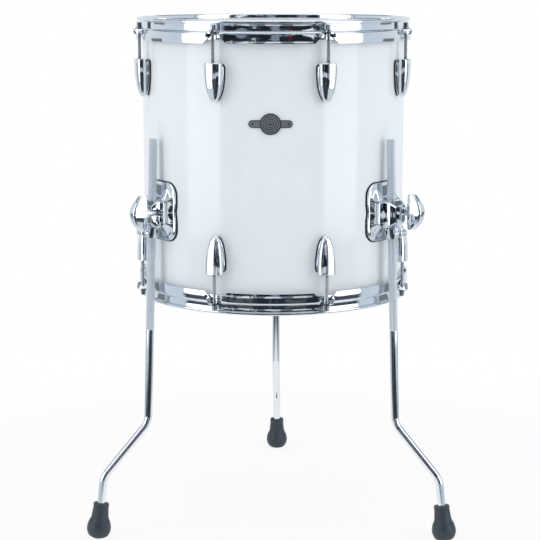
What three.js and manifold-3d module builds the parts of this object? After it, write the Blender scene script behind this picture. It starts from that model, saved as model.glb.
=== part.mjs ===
// A floor tom, 16 inches across and 16 inches deep, on three bent legs.
// Lengths are millimetres and +Z is up. Azimuth 0 is the front, towards -Y, and grows towards +X.
import * as THREE from "three";
import { mergeVertices } from "three/addons/utils/BufferGeometryUtils.js";
import Module from "manifold-3d";

const wasm = await Module();
wasm.setup();

// Clearances that every piece shares
const SEAT_GAP = 0.3;
const RUNNING_GAP = 0.4;
const GASKET_THICKNESS = 0.9;
const CUT_OVERRUN = 8;

// Shell
const SHELL_RADIUS = 203.2;
const SHELL_DEPTH = 406.4;
const SHELL_WALL = 7.5;
const BEARING_EDGE_ROUND = 2;
const BEARING_EDGE_LAND = 0.8;
const DRUM_SEGMENTS = 48;
const SHELL_HEIGHT = 369.3; // the shell's lower edge above the floor

// Hoops, pressed from one sheet
const HOOP_SHEET = 2.3;
const HOOP_RISE = 11.3; // rim above the bearing edge
const HOOP_HEIGHT = 33.5;
const HOOP_CLEARANCE = 2.2; // from the shell's face to the wall
const HOOP_STEP = 5; // from the wall out to the skirt
const HOOP_BEAD_WIDTH = 5.8;
const HOOP_BEAD_HEIGHT = 5;
const HOOP_WALL_HEIGHT = 18;

// Ears pressed out of the skirt, each a channel that opens downwards over a notch
const EAR_DEPTH = 16; // its top face below the rim
const EAR_HEIGHT = 8;
const EAR_TOP_WIDTH = 16;
const EAR_FOOT_WIDTH = 25;
const EAR_ROUND = 13; // of its end, seen from above
const EAR_REACH = 9.5; // past the rod's axis
const EAR_SIDES = 16;
const NOTCH_WIDTH = 38; // at the skirt's edge

// Heads: film with its flesh hoop
const FILM_THICKNESS = 0.5;
const COLLAR_THICKNESS = 1.2;
const COLLAR_ROUND = 2.4;
const FLESH_HOOP_WIDTH = 4.4;
const FLESH_HOOP_HEIGHT = 9.7;

// Tension rods
const LUG_COUNT = 8;
const ROD_RADIUS = 2.5;
const ROD_STANDOFF = 6.1; // from the skirt's inner face to the rod's axis
const ROD_ENGAGEMENT = 17;
const WASHER_RADIUS = 5.6;
const WASHER_HEIGHT = 1.6;
const COLLET_RADIUS = 4.4;
const COLLET_HEIGHT = 1.4;
const SQUARE_HEAD_SIDE = 6.35;
const SQUARE_HEAD_HEIGHT = 7.2;
const ROD_SIDES = 8;

// Lugs: an upright back, and a front that bows in towards the tip
const LUG_LENGTH = 57.4;
const LUG_WIDTH = 20.6;
const LUG_MOUTH_DEPTH = 60.6; // open end below the rim
const LUG_BACK = 5.4; // from the shell's face
const LUG_FRONT = 19.6;
const LUG_TIP_FRONT = 8.4;
const LUG_NECK_WIDTH = 15;
const LUG_NECK_LENGTH = 45;
const LUG_FLANGE_WIDTH = 21;
const LUG_FLANGE_LENGTH = 51;
const LUG_FLANGE_THICKNESS = 3;
const LUG_FLANGE_DROP = 2; // its end below the mouth
const LUG_SOCKET_DEPTH = 21;
const LUG_SIDES = 10;
const LUG_TIP_SHARE = 0.25; // of the last ring, left flat at the tip
const BULLET_POWER = 2.5;
const BULLET_SHARES = [0, 0.35, 0.62, 0.82, 0.94];

// Legs: the front two are turned outwards in their clamps
const LEG_AZIMUTHS = { left: -55, right: 55, back: 180 };
const LEG_TURNS = { left: -11.5, right: 11.5, back: 0 };
const LEG_RADIUS = 6.35;
const LEG_STANDOFF = 17.1; // from the shell's face to the leg's axis, at the clamp's middle
const LEG_LEAN = 2.02;
const LEG_TOP_RISE = 112; // above the clamp's middle
const BRACKET_HEIGHT = 498; // the clamp's middle above the floor
const UPPER_BEND_HEIGHT = 172.7;
const MIDDLE_ANGLE = 42.9;
const LOWER_BEND_HEIGHT = 94.6;
const FOOT_ANGLE = 7;
const LEG_BEND_RADIUS = 30;
const LEG_END_HEIGHT = 13;
const LEG_SIDES = 12;
const BEND_STEPS = 5;

// Feet
const FOOT_LENGTH = 55;
const FOOT_MOUTH_RADIUS = 11.5;
const FOOT_NECK_RADIUS = 12.6;
const FOOT_BULB_RADIUS = 18.3;
const FOOT_BULB_HEIGHT = 17;
const FOOT_TREAD_RADIUS = 8;
const FOOT_SIDES = 12;
const FOOT_SHARES = [[0.8, 0.24], [0.98, 0.65], [1, 1.05], [0.91, 1.5]]; // of its radius and height

// Bracket base: a plate with a boss across it, and ridges from the boss to the plate's corners
const BASE_WIDTH = 76;
const BASE_HEIGHT = 88;
const BASE_RISE = 3.2; // of the plate's middle above the clamp's
const BASE_CORNER_RADIUS = 18;
const BASE_CORNER_STEPS = 3;
const BASE_WAIST = 1.6;
const BASE_EDGE_THICKNESS = 2.4;
const BASE_EDGE_BEVEL = 3.6; // drawn in from the plate's edge to its face
const BASE_BOSS_FRONT = 3.6; // its face behind the leg's axis
const BASE_BOSS_HEIGHT = 31;
const BASE_BOSS_SIDE = 33;
const BASE_BOSS_BEVEL = 2.4;
const BASE_RIDGE_INNER = 13; // where each ridge leaves the boss, sideways from the leg
const BASE_RIDGE_TIP_SIDE = 25;
const BASE_RIDGE_TIP_RISE = 35;

// Clamp jaw, hinged by a tab in a slot of the base
const JAW_HEIGHT = 40;
const JAW_BACK = 2.8; // its face behind the leg's axis
const JAW_FRONT = 12;
const JAW_HINGE_SIDE = 17;
const JAW_BOLT_SIDE = 22;
const JAW_BEVEL = 2;
const JAW_FRONT_HEIGHT = 26;
const JAW_FRONT_HINGE_SIDE = 9;
const JAW_FRONT_BOLT_SIDE = 18.5;
const JAW_SHOULDER = 3; // where the sides start to draw in, in front of the leg's axis
const JAW_PLAY = 0.8; // round the leg
const POCKET_DEPTH = 3;
const POCKET_HEIGHT = 20;
const POCKET_HINGE_SIDE = 7;
const POCKET_BOLT_SIDE = 8;
const TAB_HEIGHT = 10.6;
const TAB_THICKNESS = 2.6;
const TAB_REACH = 7; // past the jaw's hinge side
const TAB_ROOT = 4;
const TAB_DEPTH = 3.2; // below the base's boss
const SLOT_PLAY = 0.9;

// T-bolt
const BOLT_OFFSET = 16.6; // sideways from the leg's axis
const BOLT_RISE = 3; // above the clamp's middle
const BOLT_RADIUS = 4;
const BOLT_SLOT_PLAY = 0.6;
const BOLT_ENGAGEMENT = 8;
const BOLT_SIDES = 10;
const HUB_GAP = 2.9;
const HUB_RADIUS = 6.6;
const HUB_BEVEL = 1;
const HANDLE_BACK = 20.4; // in front of the leg's axis
const HANDLE_LENGTH = 53;
const HANDLE_DEPTH = 24;
const HANDLE_END_DEPTH = 10;
const HANDLE_WIDTH = 16;
const HANDLE_END_WIDTH = 10;
const HANDLE_SHARES = [-1, -0.8, -0.45, 0, 0.45, 0.8, 1];
const HANDLE_SIDES = 12;

// Memory lock, a collar that narrows downwards, and its wing screw
const LOCK_TOP_RADIUS = 12.6;
const LOCK_BOTTOM_RADIUS = 9.8;
const LOCK_BACK = 9.4; // a flat behind the leg's axis, which clears the base
const LOCK_HEIGHT = 16.4;
const LOCK_BEVEL = 1;
const LOCK_BOSS_RADIUS = 5.6;
const LOCK_BOSS_FRONT = 12.8;
const LOCK_SIDES = 16;
const SCREW_RADIUS = 2.4;
const WING_SPAN = 30;
const WING_LOBE_RADIUS = 5;
const WING_WAIST = 4.6;
const WING_THICKNESS = 4.4;
const WING_STANDOFF = 1;
const WING_CROWN = 0.8;

// Badge
const BADGE_HEIGHT = 639.4; // its middle above the floor
const BADGE_DISC_RADIUS = 15.5;
const BADGE_WIDTH = 64;
const BADGE_TAB_HEIGHT = 11;
const BADGE_THICKNESS = 1.3;
const BADGE_DISC_RISE = 1.1;
const BADGE_HOLE_RADIUS = 1.5;
const BADGE_HOLE_OFFSET = 26;
const BADGE_SIDES = 24;

// Places worked out from the sizes above
const RIM_TOP = SHELL_HEIGHT + SHELL_DEPTH + HOOP_RISE;
const RIM_BOTTOM = SHELL_HEIGHT - HOOP_RISE;
const SHELL_MIDDLE = SHELL_HEIGHT + SHELL_DEPTH / 2;
const WALL_RADIUS = SHELL_RADIUS + HOOP_CLEARANCE;
const SKIRT_RADIUS = WALL_RADIUS + HOOP_STEP;
const ROD_CIRCLE = SKIRT_RADIUS + ROD_STANDOFF;
const SEAT_RADIUS = SHELL_RADIUS + GASKET_THICKNESS;
const LEG_CIRCLE = SHELL_RADIUS + LEG_STANDOFF;
const LEG_HOLE_RADIUS = LEG_RADIUS + RUNNING_GAP;

const degrees = THREE.MathUtils.degToRad;

// Materials
function finish(color, roughness, metalness) {
  return new THREE.MeshStandardMaterial({ color, roughness, metalness });
}
const CHROME = finish(0xe8ebee, 0.08, 1);
const BRUSHED = finish(0xb9bfc6, 0.45, 1);
const LACQUER = finish(0xf3f5f7, 0.12, 0);
const FILM = finish(0xf4f4f0, 0.5, 0);
const RUBBER = finish(0x34363a, 0.75, 0);
const GUNMETAL = finish(0x6f7479, 0.4, 1);

// A geometry as a solid that can be joined and cut
function solid(geometry) {
  const bare = geometry.clone();
  bare.deleteAttribute("normal");
  bare.deleteAttribute("uv");
  const merged = mergeVertices(bare, 1e-4);
  const vertProperties = new Float32Array(merged.attributes.position.array);
  const triVerts = new Uint32Array(merged.index.array);
  return new wasm.Manifold(new wasm.Mesh({ numProp: 3, vertProperties, triVerts }));
}

// A solid as a geometry
function geometryOf(body) {
  const made = body.getMesh();
  const geometry = new THREE.BufferGeometry();
  geometry.setAttribute("position", new THREE.BufferAttribute(new Float32Array(made.vertProperties), 3));
  geometry.setIndex(new THREE.BufferAttribute(new Uint32Array(made.triVerts), 1));
  geometry.computeVertexNormals();
  return geometry;
}

// A profile of [radius, height] pairs turned about +Z, its outer side listed upwards
function turned(profile, segments) {
  const points = profile.map(([radius, height]) => new THREE.Vector2(radius, height));
  return new THREE.LatheGeometry(points, segments).rotateX(Math.PI / 2);
}

// A cylinder about +Z between two heights
function cylinder(radius, bottom, top, sides) {
  return turned([[0, bottom], [radius, bottom], [radius, top], [0, top]], sides);
}

// An outline in the XY plane raised between two heights, with its bevel inside that outline
function raised(outline, bottom, top, bevel = 0) {
  const settings = { depth: top - bottom - 2 * bevel, bevelEnabled: bevel > 0, curveSegments: 3 };
  Object.assign(settings, { bevelThickness: bevel, bevelSize: bevel, bevelOffset: -bevel, bevelSegments: 1 });
  return new THREE.ExtrudeGeometry(outline, settings).translate(0, 0, bottom + bevel);
}

// Turns what was drawn as [sideways, up] and raised so that it stands on the shell, raised along +X
const STANDING = new THREE.Matrix4().set(0, 0, 1, 0, 1, 0, 0, 0, 0, 1, 0, 0, 0, 0, 0, 1);

function raisedOutward(outline, back, front, bevel = 0) {
  return raised(outline, back, front, bevel).applyMatrix4(STANDING);
}

// A cylinder along +X, away from the shell
function cylinderOutward(radius, back, front, sides) {
  return cylinder(radius, back, front, sides).rotateY(Math.PI / 2);
}

function polygon(corners) {
  return new THREE.Shape(corners.map(([x, y]) => new THREE.Vector2(x, y)));
}

function box(low, high) {
  const size = high.map((value, axis) => value - low[axis]);
  const centre = high.map((value, axis) => (value + low[axis]) / 2);
  return new THREE.BoxGeometry(...size).translate(...centre);
}

// A closed skin through rings of points, each ring seen counterclockwise from the last one's side
function loft(rings) {
  const count = rings[0].length;
  const ends = [rings[0], rings.at(-1)];
  const total = (ring) => ring.reduce((sum, point) => sum.add(point), new THREE.Vector3());
  const points = [...rings.flat(), ...ends.map((ring) => total(ring).divideScalar(count))];
  const numbers = points.flatMap((point) => point.toArray());
  const lastRing = (rings.length - 1) * count;
  const index = [];
  for (let step = 0; step < count; step++) {
    const next = (step + 1) % count;
    for (let low = 0; low < lastRing; low += count) {
      const high = low + count;
      index.push(low + step, low + next, high + next, low + step, high + next, high + step);
    }
    index.push(lastRing + count, next, step, lastRing + count + 1, lastRing + step, lastRing + next);
  }
  const geometry = new THREE.BufferGeometry();
  geometry.setAttribute("position", new THREE.Float32BufferAttribute(numbers, 3));
  return geometry.setIndex(index);
}

// An oval of points about a centre, as [first axis, second axis] pairs
function oval(halfFirst, halfSecond, sides) {
  return Array.from({ length: sides }, (_, index) => {
    const angle = (2 * Math.PI * (index + 0.5)) / sides;
    return [halfFirst * Math.cos(angle), halfSecond * Math.sin(angle)];
  });
}

function piece(name, geometry, material) {
  const mesh = new THREE.Mesh(geometry, material);
  mesh.name = name;
  return mesh;
}

// A group whose +X points away from the shell at an azimuth, and whose +Y runs along the shell
function station(azimuth) {
  const group = new THREE.Group();
  group.rotation.z = degrees(azimuth) - Math.PI / 2;
  return group;
}

// The space inside the shell's face and its gaskets
function shellSpace(height) {
  return solid(cylinder(SEAT_RADIUS, -height, height, DRUM_SEGMENTS * 2));
}

// Shell: a tube whose ends slope inwards from a rounded bearing edge
function shellGeometry() {
  const half = SHELL_DEPTH / 2;
  const inner = SHELL_RADIUS - SHELL_WALL;
  const land = SHELL_RADIUS - BEARING_EDGE_ROUND;
  const peak = land - BEARING_EDGE_LAND;
  const slope = peak - inner;
  const outside = [
    [SHELL_RADIUS, -half + BEARING_EDGE_ROUND],
    [SHELL_RADIUS, half - BEARING_EDGE_ROUND],
    [land, half],
    [peak, half],
  ];
  const inside = [[inner, half - slope], [inner, -half + slope], [peak, -half], [land, -half]];
  return turned([...outside, ...inside, outside[0]], DRUM_SEGMENTS);
}

// Hoop: rolled bead, wall, step over the flesh hoop and skirt, seen as the upper one with its rim at 0
function hoopProfile() {
  const wallOuter = WALL_RADIUS + HOOP_SHEET;
  const beadOuter = WALL_RADIUS + HOOP_BEAD_WIDTH;
  const skirtOuter = SKIRT_RADIUS + HOOP_SHEET;
  const step = -HOOP_WALL_HEIGHT;
  return [
    [skirtOuter, -HOOP_HEIGHT],
    [skirtOuter, step + HOOP_SHEET],
    [wallOuter, step + HOOP_SHEET],
    [wallOuter, -HOOP_BEAD_HEIGHT],
    [beadOuter, -HOOP_BEAD_HEIGHT],
    [beadOuter, -HOOP_BEAD_HEIGHT / 3],
    [beadOuter - HOOP_BEAD_WIDTH / 3, 0],
    [WALL_RADIUS + HOOP_BEAD_WIDTH / 3, 0],
    [WALL_RADIUS, -HOOP_BEAD_HEIGHT / 3],
    [WALL_RADIUS, step],
    [SKIRT_RADIUS, step],
    [SKIRT_RADIUS, -HOOP_HEIGHT],
    [skirtOuter, -HOOP_HEIGHT],
  ];
}

// Half widths of the ear's channel, outside and inside the sheet, at its top and its foot
function earWidths() {
  const flare = (EAR_FOOT_WIDTH - EAR_TOP_WIDTH) / 2;
  const wall = HOOP_SHEET * Math.hypot(1, flare / EAR_HEIGHT);
  const top = EAR_TOP_WIDTH / 2;
  const foot = EAR_FOOT_WIDTH / 2;
  const innerTop = foot - wall - (flare * (EAR_HEIGHT - HOOP_SHEET)) / EAR_HEIGHT;
  return { top, foot, innerTop, innerFoot: foot - wall };
}

// Ear: a flared channel that runs out from the skirt, rounded at its end
function earSolid() {
  const { top, foot, innerTop, innerFoot } = earWidths();
  const high = -EAR_DEPTH;
  const low = high - EAR_HEIGHT;
  const section = polygon([
    [-foot, low],
    [-innerFoot, low],
    [-innerTop, high - HOOP_SHEET],
    [innerTop, high - HOOP_SHEET],
    [innerFoot, low],
    [foot, low],
    [top, high],
    [-top, high],
  ]);
  const tip = ROD_CIRCLE + EAR_REACH;
  const channel = raisedOutward(section, SKIRT_RADIUS + HOOP_SHEET / 2, tip + CUT_OVERRUN);
  const round = cylinder(EAR_ROUND, low - CUT_OVERRUN, CUT_OVERRUN, EAR_SIDES);
  return solid(channel).intersect(solid(round.translate(tip - EAR_ROUND, 0, 0)));
}

// The skirt is cut away between the ear's sides, in a notch that widens downwards
function notchSolid() {
  const { innerTop, innerFoot } = earWidths();
  const half = NOTCH_WIDTH / 2;
  const right = [
    [half, -HOOP_HEIGHT - CUT_OVERRUN],
    [half, -HOOP_HEIGHT],
    [innerFoot, -EAR_DEPTH - EAR_HEIGHT],
    [innerTop, -EAR_DEPTH - HOOP_SHEET],
  ];
  const left = right.map(([across, up]) => [-across, up]).reverse();
  return solid(raisedOutward(polygon([...right, ...left]), WALL_RADIUS, ROD_CIRCLE));
}

function eachLug(visit) {
  for (let index = 0; index < LUG_COUNT; index++) visit(((index + 0.5) * 360) / LUG_COUNT, index + 1);
}

function hoopGeometry() {
  let hoop = solid(turned(hoopProfile(), DRUM_SEGMENTS));
  const ear = earSolid();
  const notch = notchSolid();
  const top = -EAR_DEPTH + CUT_OVERRUN;
  const hole = cylinder(ROD_RADIUS + RUNNING_GAP, -HOOP_HEIGHT, top, ROD_SIDES).translate(ROD_CIRCLE, 0, 0);
  const holeSolid = solid(hole);
  eachLug((azimuth) => {
    const turn = [0, 0, azimuth - 90];
    hoop = hoop.subtract(notch.rotate(turn)).add(ear.rotate(turn)).subtract(holeSolid.rotate(turn));
  });
  return geometryOf(hoop);
}

// Head: film over the bearing edge, its collar down the shell, and the flesh hoop at its foot
function headGeometry() {
  const film = -HOOP_RISE + SEAT_GAP;
  const collarInner = SHELL_RADIUS + SEAT_GAP;
  const collarOuter = collarInner + COLLAR_THICKNESS;
  const fleshTop = -HOOP_WALL_HEIGHT - SEAT_GAP;
  const fleshBottom = fleshTop - FLESH_HOOP_HEIGHT;
  const fleshOuter = collarOuter + FLESH_HOOP_WIDTH;
  const profile = [
    [0, film],
    [collarInner - COLLAR_ROUND, film],
    [collarInner, film - COLLAR_ROUND],
    [collarInner, fleshBottom],
    [fleshOuter, fleshBottom],
    [fleshOuter, fleshTop],
    [collarOuter, fleshTop],
    [collarOuter, film - COLLAR_ROUND],
    [collarOuter - COLLAR_ROUND, film + FILM_THICKNESS],
    [0, film + FILM_THICKNESS],
  ];
  return turned(profile, DRUM_SEGMENTS);
}

// Tension rod: shaft, washer and square head, with the rim at 0
function rodGeometry() {
  const seat = -EAR_DEPTH + SEAT_GAP;
  const washerTop = seat + WASHER_HEIGHT;
  const colletTop = washerTop + COLLET_HEIGHT;
  const end = -LUG_MOUTH_DEPTH - ROD_ENGAGEMENT;
  const shaft = turned([
    [0, end],
    [ROD_RADIUS, end],
    [ROD_RADIUS, seat],
    [WASHER_RADIUS, seat],
    [WASHER_RADIUS, washerTop],
    [COLLET_RADIUS, washerTop],
    [COLLET_RADIUS, colletTop],
    [0, colletTop],
  ], ROD_SIDES);
  const half = SQUARE_HEAD_SIDE / 2;
  const head = box([-half, -half, washerTop], [half, half, colletTop + SQUARE_HEAD_HEIGHT]);
  return geometryOf(solid(shaft).add(solid(head))).translate(ROD_CIRCLE, 0, 0);
}

// Half the lug's width at a share of its length, as a share of the full half width
function bulletShare(along) {
  return Math.sqrt(1 - along ** BULLET_POWER);
}

// A bullet outline with its tip down, as [sideways, up]
function bulletOutline(width, length, mouth) {
  const right = BULLET_SHARES.map((along) => [(width / 2) * bulletShare(along), mouth - length * along]);
  const left = right.map(([across, up]) => [-across, up]).reverse();
  return polygon([[0, mouth - length], ...right.reverse(), ...left.reverse()]);
}

// Lug's body: ovals from its tip up to its mouth
function lugBody() {
  const back = SHELL_RADIUS + LUG_BACK;
  const tip = new THREE.Vector3((back + SHELL_RADIUS + LUG_TIP_FRONT) / 2, 0, -LUG_LENGTH);
  const rings = [...BULLET_SHARES].reverse().map((along) => {
    const size = bulletShare(along);
    const front = SHELL_RADIUS + LUG_TIP_FRONT + (LUG_FRONT - LUG_TIP_FRONT) * size;
    const middle = (front + back) / 2;
    const height = -LUG_LENGTH * along;
    const ring = oval((front - back) / 2, (LUG_WIDTH / 2) * size, LUG_SIDES);
    return ring.map(([outward, across]) => new THREE.Vector3(middle + outward, across, height));
  });
  const flatTip = rings[0].map((point) => point.clone().lerp(tip, 1 - LUG_TIP_SHARE).setZ(tip.z));
  return loft([flatTip, ...rings]);
}

// Lug: the body on a neck and a flange that follow the shell, with its mouth at 0
function lugGeometry() {
  const neckDrop = (LUG_LENGTH - LUG_NECK_LENGTH) / 3;
  const neck = bulletOutline(LUG_NECK_WIDTH, LUG_NECK_LENGTH, -neckDrop);
  const flange = bulletOutline(LUG_FLANGE_WIDTH, LUG_FLANGE_LENGTH, -LUG_FLANGE_DROP);
  const back = SEAT_RADIUS - CUT_OVERRUN;
  const neckFront = SHELL_RADIUS + (LUG_BACK + LUG_TIP_FRONT) / 2;
  const socket = cylinder(ROD_RADIUS + RUNNING_GAP, -LUG_SOCKET_DEPTH, CUT_OVERRUN, ROD_SIDES);
  const lug = solid(lugBody())
    .add(solid(raisedOutward(neck, back, neckFront)))
    .add(solid(raisedOutward(flange, back, SEAT_RADIUS + LUG_FLANGE_THICKNESS)))
    .subtract(shellSpace(LUG_LENGTH + CUT_OVERRUN))
    .subtract(solid(socket.translate(ROD_CIRCLE, 0, 0)));
  return geometryOf(lug);
}

// The leg's axis at a height above the upper bend, as its distance from the drum's axis
function legAxisRadius(height) {
  return LEG_CIRCLE + (BRACKET_HEIGHT - height) * Math.tan(degrees(LEG_LEAN));
}

// The corners of the leg's centre line, as [distance from the drum's axis, height]
function legCorners() {
  const top = BRACKET_HEIGHT + LEG_TOP_RISE;
  const middleRun = (UPPER_BEND_HEIGHT - LOWER_BEND_HEIGHT) * Math.tan(degrees(MIDDLE_ANGLE));
  const upperBend = legAxisRadius(UPPER_BEND_HEIGHT);
  const lowerBend = upperBend + middleRun;
  const end = lowerBend + (LOWER_BEND_HEIGHT - LEG_END_HEIGHT) * Math.tan(degrees(FOOT_ANGLE));
  return [
    new THREE.Vector2(legAxisRadius(top), top),
    new THREE.Vector2(upperBend, UPPER_BEND_HEIGHT),
    new THREE.Vector2(lowerBend, LOWER_BEND_HEIGHT),
    new THREE.Vector2(end, LEG_END_HEIGHT),
  ];
}

// The points of an arc that rounds one corner of the centre line
function bendPoints(before, corner, after) {
  const back = before.clone().sub(corner).normalize();
  const ahead = after.clone().sub(corner).normalize();
  const halfAngle = Math.acos(THREE.MathUtils.clamp(back.dot(ahead), -1, 1)) / 2;
  const toCentre = back.clone().add(ahead).normalize();
  const centre = corner.clone().addScaledVector(toCentre, LEG_BEND_RADIUS / Math.sin(halfAngle));
  const start = corner.clone().addScaledVector(back, LEG_BEND_RADIUS / Math.tan(halfAngle)).sub(centre);
  const end = corner.clone().addScaledVector(ahead, LEG_BEND_RADIUS / Math.tan(halfAngle)).sub(centre);
  const sweep = Math.atan2(start.cross(end), start.dot(end));
  const points = [];
  for (let step = 0; step <= BEND_STEPS; step++) {
    points.push(start.clone().rotateAround(new THREE.Vector2(), (sweep * step) / BEND_STEPS).add(centre));
  }
  return points;
}

// A centre line through chosen stations, so that long straights take one step each
class StationPath extends THREE.Curve {
  constructor(stations) {
    super();
    this.stations = stations;
  }
  getPoint(share, target = new THREE.Vector3()) {
    const last = this.stations.length - 1;
    const index = Math.min(Math.floor(share * last), last - 1);
    return target.lerpVectors(this.stations[index], this.stations[index + 1], share * last - index);
  }
  getUtoTmapping(share) {
    return share;
  }
}

// A point of the leg's plane in the round: what lies off the straight axis is turned with the leg
function turnedWithLeg(point, turn) {
  const axis = legAxisRadius(point.y);
  const off = point.x - axis;
  return new THREE.Vector3(axis + off * Math.cos(degrees(turn)), off * Math.sin(degrees(turn)), point.y);
}

// Leg: one rod bent twice
function legGeometry(turn) {
  const [top, upper, lower, end] = legCorners();
  const flat = [top, ...bendPoints(top, upper, lower), ...bendPoints(upper, lower, end), end];
  const stations = flat.map((point) => turnedWithLeg(point, turn));
  const section = new THREE.Shape().absarc(0, 0, LEG_RADIUS, 0, 2 * Math.PI);
  const settings = { steps: stations.length - 1, curveSegments: LEG_SIDES / 2, bevelEnabled: false };
  return new THREE.ExtrudeGeometry(section, { ...settings, extrudePath: new StationPath(stations) });
}

// Foot: a rubber bulb that holds the leg's end, cut flat where it stands
function footGeometry(turn) {
  const profile = [
    [0, 0],
    [FOOT_TREAD_RADIUS, 0],
    ...FOOT_SHARES.map(([across, up]) => [FOOT_BULB_RADIUS * across, FOOT_BULB_HEIGHT * up]),
    [FOOT_NECK_RADIUS, FOOT_BULB_HEIGHT * 2],
    [FOOT_MOUTH_RADIUS, FOOT_LENGTH],
    [0, FOOT_LENGTH],
  ];
  const [lower, end] = legCorners().slice(2).map((point) => turnedWithLeg(point, turn));
  const axis = lower.sub(end).normalize();
  const sole = end.clone().addScaledVector(axis, -end.z / axis.z);
  const lean = new THREE.Quaternion().setFromUnitVectors(new THREE.Vector3(0, 0, 1), axis);
  const place = (geometry) => geometry.applyQuaternion(lean).translate(sole.x, sole.y, 0);
  const lift = -FOOT_TREAD_RADIUS * Math.hypot(axis.x, axis.y);
  const outside = place(turned(profile, FOOT_SIDES).translate(0, 0, lift));
  const socketBottom = LEG_END_HEIGHT / axis.z - SEAT_GAP;
  const socket = place(cylinder(LEG_HOLE_RADIUS, socketBottom, FOOT_LENGTH + CUT_OVERRUN, LEG_SIDES));
  const reach = FOOT_BULB_RADIUS * 2;
  const floor = box([sole.x - reach, sole.y - reach, -reach], [sole.x + reach, sole.y + reach, 0]);
  return geometryOf(solid(outside).subtract(solid(socket)).subtract(solid(floor)));
}

// A straight stretch of the leg's axis with some clearance, in a frame at the bracket's middle
function legSpace(radius, reach) {
  return solid(cylinder(radius, -reach, reach, LEG_SIDES).rotateY(-degrees(LEG_LEAN)));
}

// A rounded rectangle as [sideways, up] pairs, drawn in by a waist on its long sides
function roundedRectangle(left, right, low, high, radius, waist = 0) {
  const centres = [[right, low, -90], [right, high, 0], [left, high, 90], [left, low, 180]];
  return centres.flatMap(([x, y, start]) => {
    const middle = [x - Math.sign(x) * radius, y === high ? y - radius : y + radius];
    const arc = Array.from({ length: BASE_CORNER_STEPS + 1 }, (_, step) => {
      const angle = degrees(start + (90 * step) / BASE_CORNER_STEPS);
      return [middle[0] + radius * Math.cos(angle), middle[1] + radius * Math.sin(angle)];
    });
    const drawnIn = [x - Math.sign(x) * waist, (low + high) / 2];
    return y === low && x > 0 ? [...arc, drawnIn] : y === high && x < 0 ? [...arc, drawnIn] : arc;
  });
}

// Rings of one outline style at chosen distances from the shell, each grown by its own amount
function slab(outlineAt, levels) {
  const ring = ([x, grow]) => outlineAt(grow).map(([across, up]) => new THREE.Vector3(x, across, up));
  return loft(levels.map(ring));
}

// The plate, before the shell's curve is cut from its back
function basePlate() {
  const half = BASE_WIDTH / 2;
  const low = BASE_RISE - BASE_HEIGHT / 2;
  const high = BASE_RISE + BASE_HEIGHT / 2;
  const droop = SHELL_RADIUS - Math.sqrt(SHELL_RADIUS ** 2 - half ** 2);
  const edge = -LEG_STANDOFF + GASKET_THICKNESS + BASE_EDGE_THICKNESS;
  const outlineAt = (grow) => {
    const side = half + grow;
    return roundedRectangle(-side, side, low - grow, high + grow, BASE_CORNER_RADIUS + grow, BASE_WAIST);
  };
  return slab(outlineAt, [[-LEG_STANDOFF - CUT_OVERRUN, 0], [edge - droop, 0], [edge, -BASE_EDGE_BEVEL]]);
}

// The boss across the plate, its edges bevelled
function baseBoss() {
  const bevel = BASE_BOSS_BEVEL;
  const outlineAt = (grow) => {
    const side = BASE_BOSS_SIDE + grow;
    const tall = BASE_BOSS_HEIGHT / 2 + grow;
    return roundedRectangle(-side, side, BASE_RISE - tall, BASE_RISE + tall, bevel);
  };
  const back = -LEG_STANDOFF - CUT_OVERRUN;
  return solid(slab(outlineAt, [[back, bevel], [-BASE_BOSS_FRONT - bevel, 0], [-BASE_BOSS_FRONT, -bevel]]));
}

// The two ridges on one side of the leg, which run from the boss up and down to the plate's corners
function baseRidges(side) {
  const front = -BASE_BOSS_FRONT - BASE_BOSS_BEVEL;
  const foot = -LEG_STANDOFF + GASKET_THICKNESS + BASE_EDGE_THICKNESS / 2;
  const back = -LEG_STANDOFF - CUT_OVERRUN;
  const points = [];
  for (const sense of [-1, 1]) {
    const tip = BASE_RISE + sense * BASE_RIDGE_TIP_RISE;
    const edge = BASE_RISE + (sense * BASE_BOSS_HEIGHT) / 2;
    for (const across of [BASE_RIDGE_INNER, BASE_BOSS_SIDE]) {
      points.push([front, side * across, edge], [back, side * across, edge]);
    }
    points.push([foot, side * BASE_RIDGE_TIP_SIDE, tip], [back, side * BASE_RIDGE_TIP_SIDE, tip]);
  }
  return wasm.Manifold.hull(points);
}

// Where the jaw's tab turns, as [outwards, sideways] from the leg's axis
function tabPlace() {
  return { front: -BASE_BOSS_FRONT - TAB_DEPTH + TAB_THICKNESS, side: -JAW_HINGE_SIDE - TAB_REACH };
}

// The memory lock's outline seen from above, flat at the back, as [outwards, sideways] pairs
function lockOutline(radius, flat) {
  return oval(radius, radius, LOCK_SIDES).map(([outward, across]) => [Math.max(outward, -flat), across]);
}

function lockRing(radius, flat, height) {
  return lockOutline(radius, flat).map(([outward, across]) => new THREE.Vector3(outward, across, height));
}

// The space in which the memory lock slides, below the clamp
function lockSpace() {
  const radius = LOCK_TOP_RADIUS + RUNNING_GAP;
  const flat = LOCK_BACK + RUNNING_GAP;
  const rings = [-BASE_HEIGHT, -JAW_HEIGHT / 2].map((height) => lockRing(radius, flat, height));
  return solid(loft(rings).rotateY(-degrees(LEG_LEAN)));
}

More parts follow.
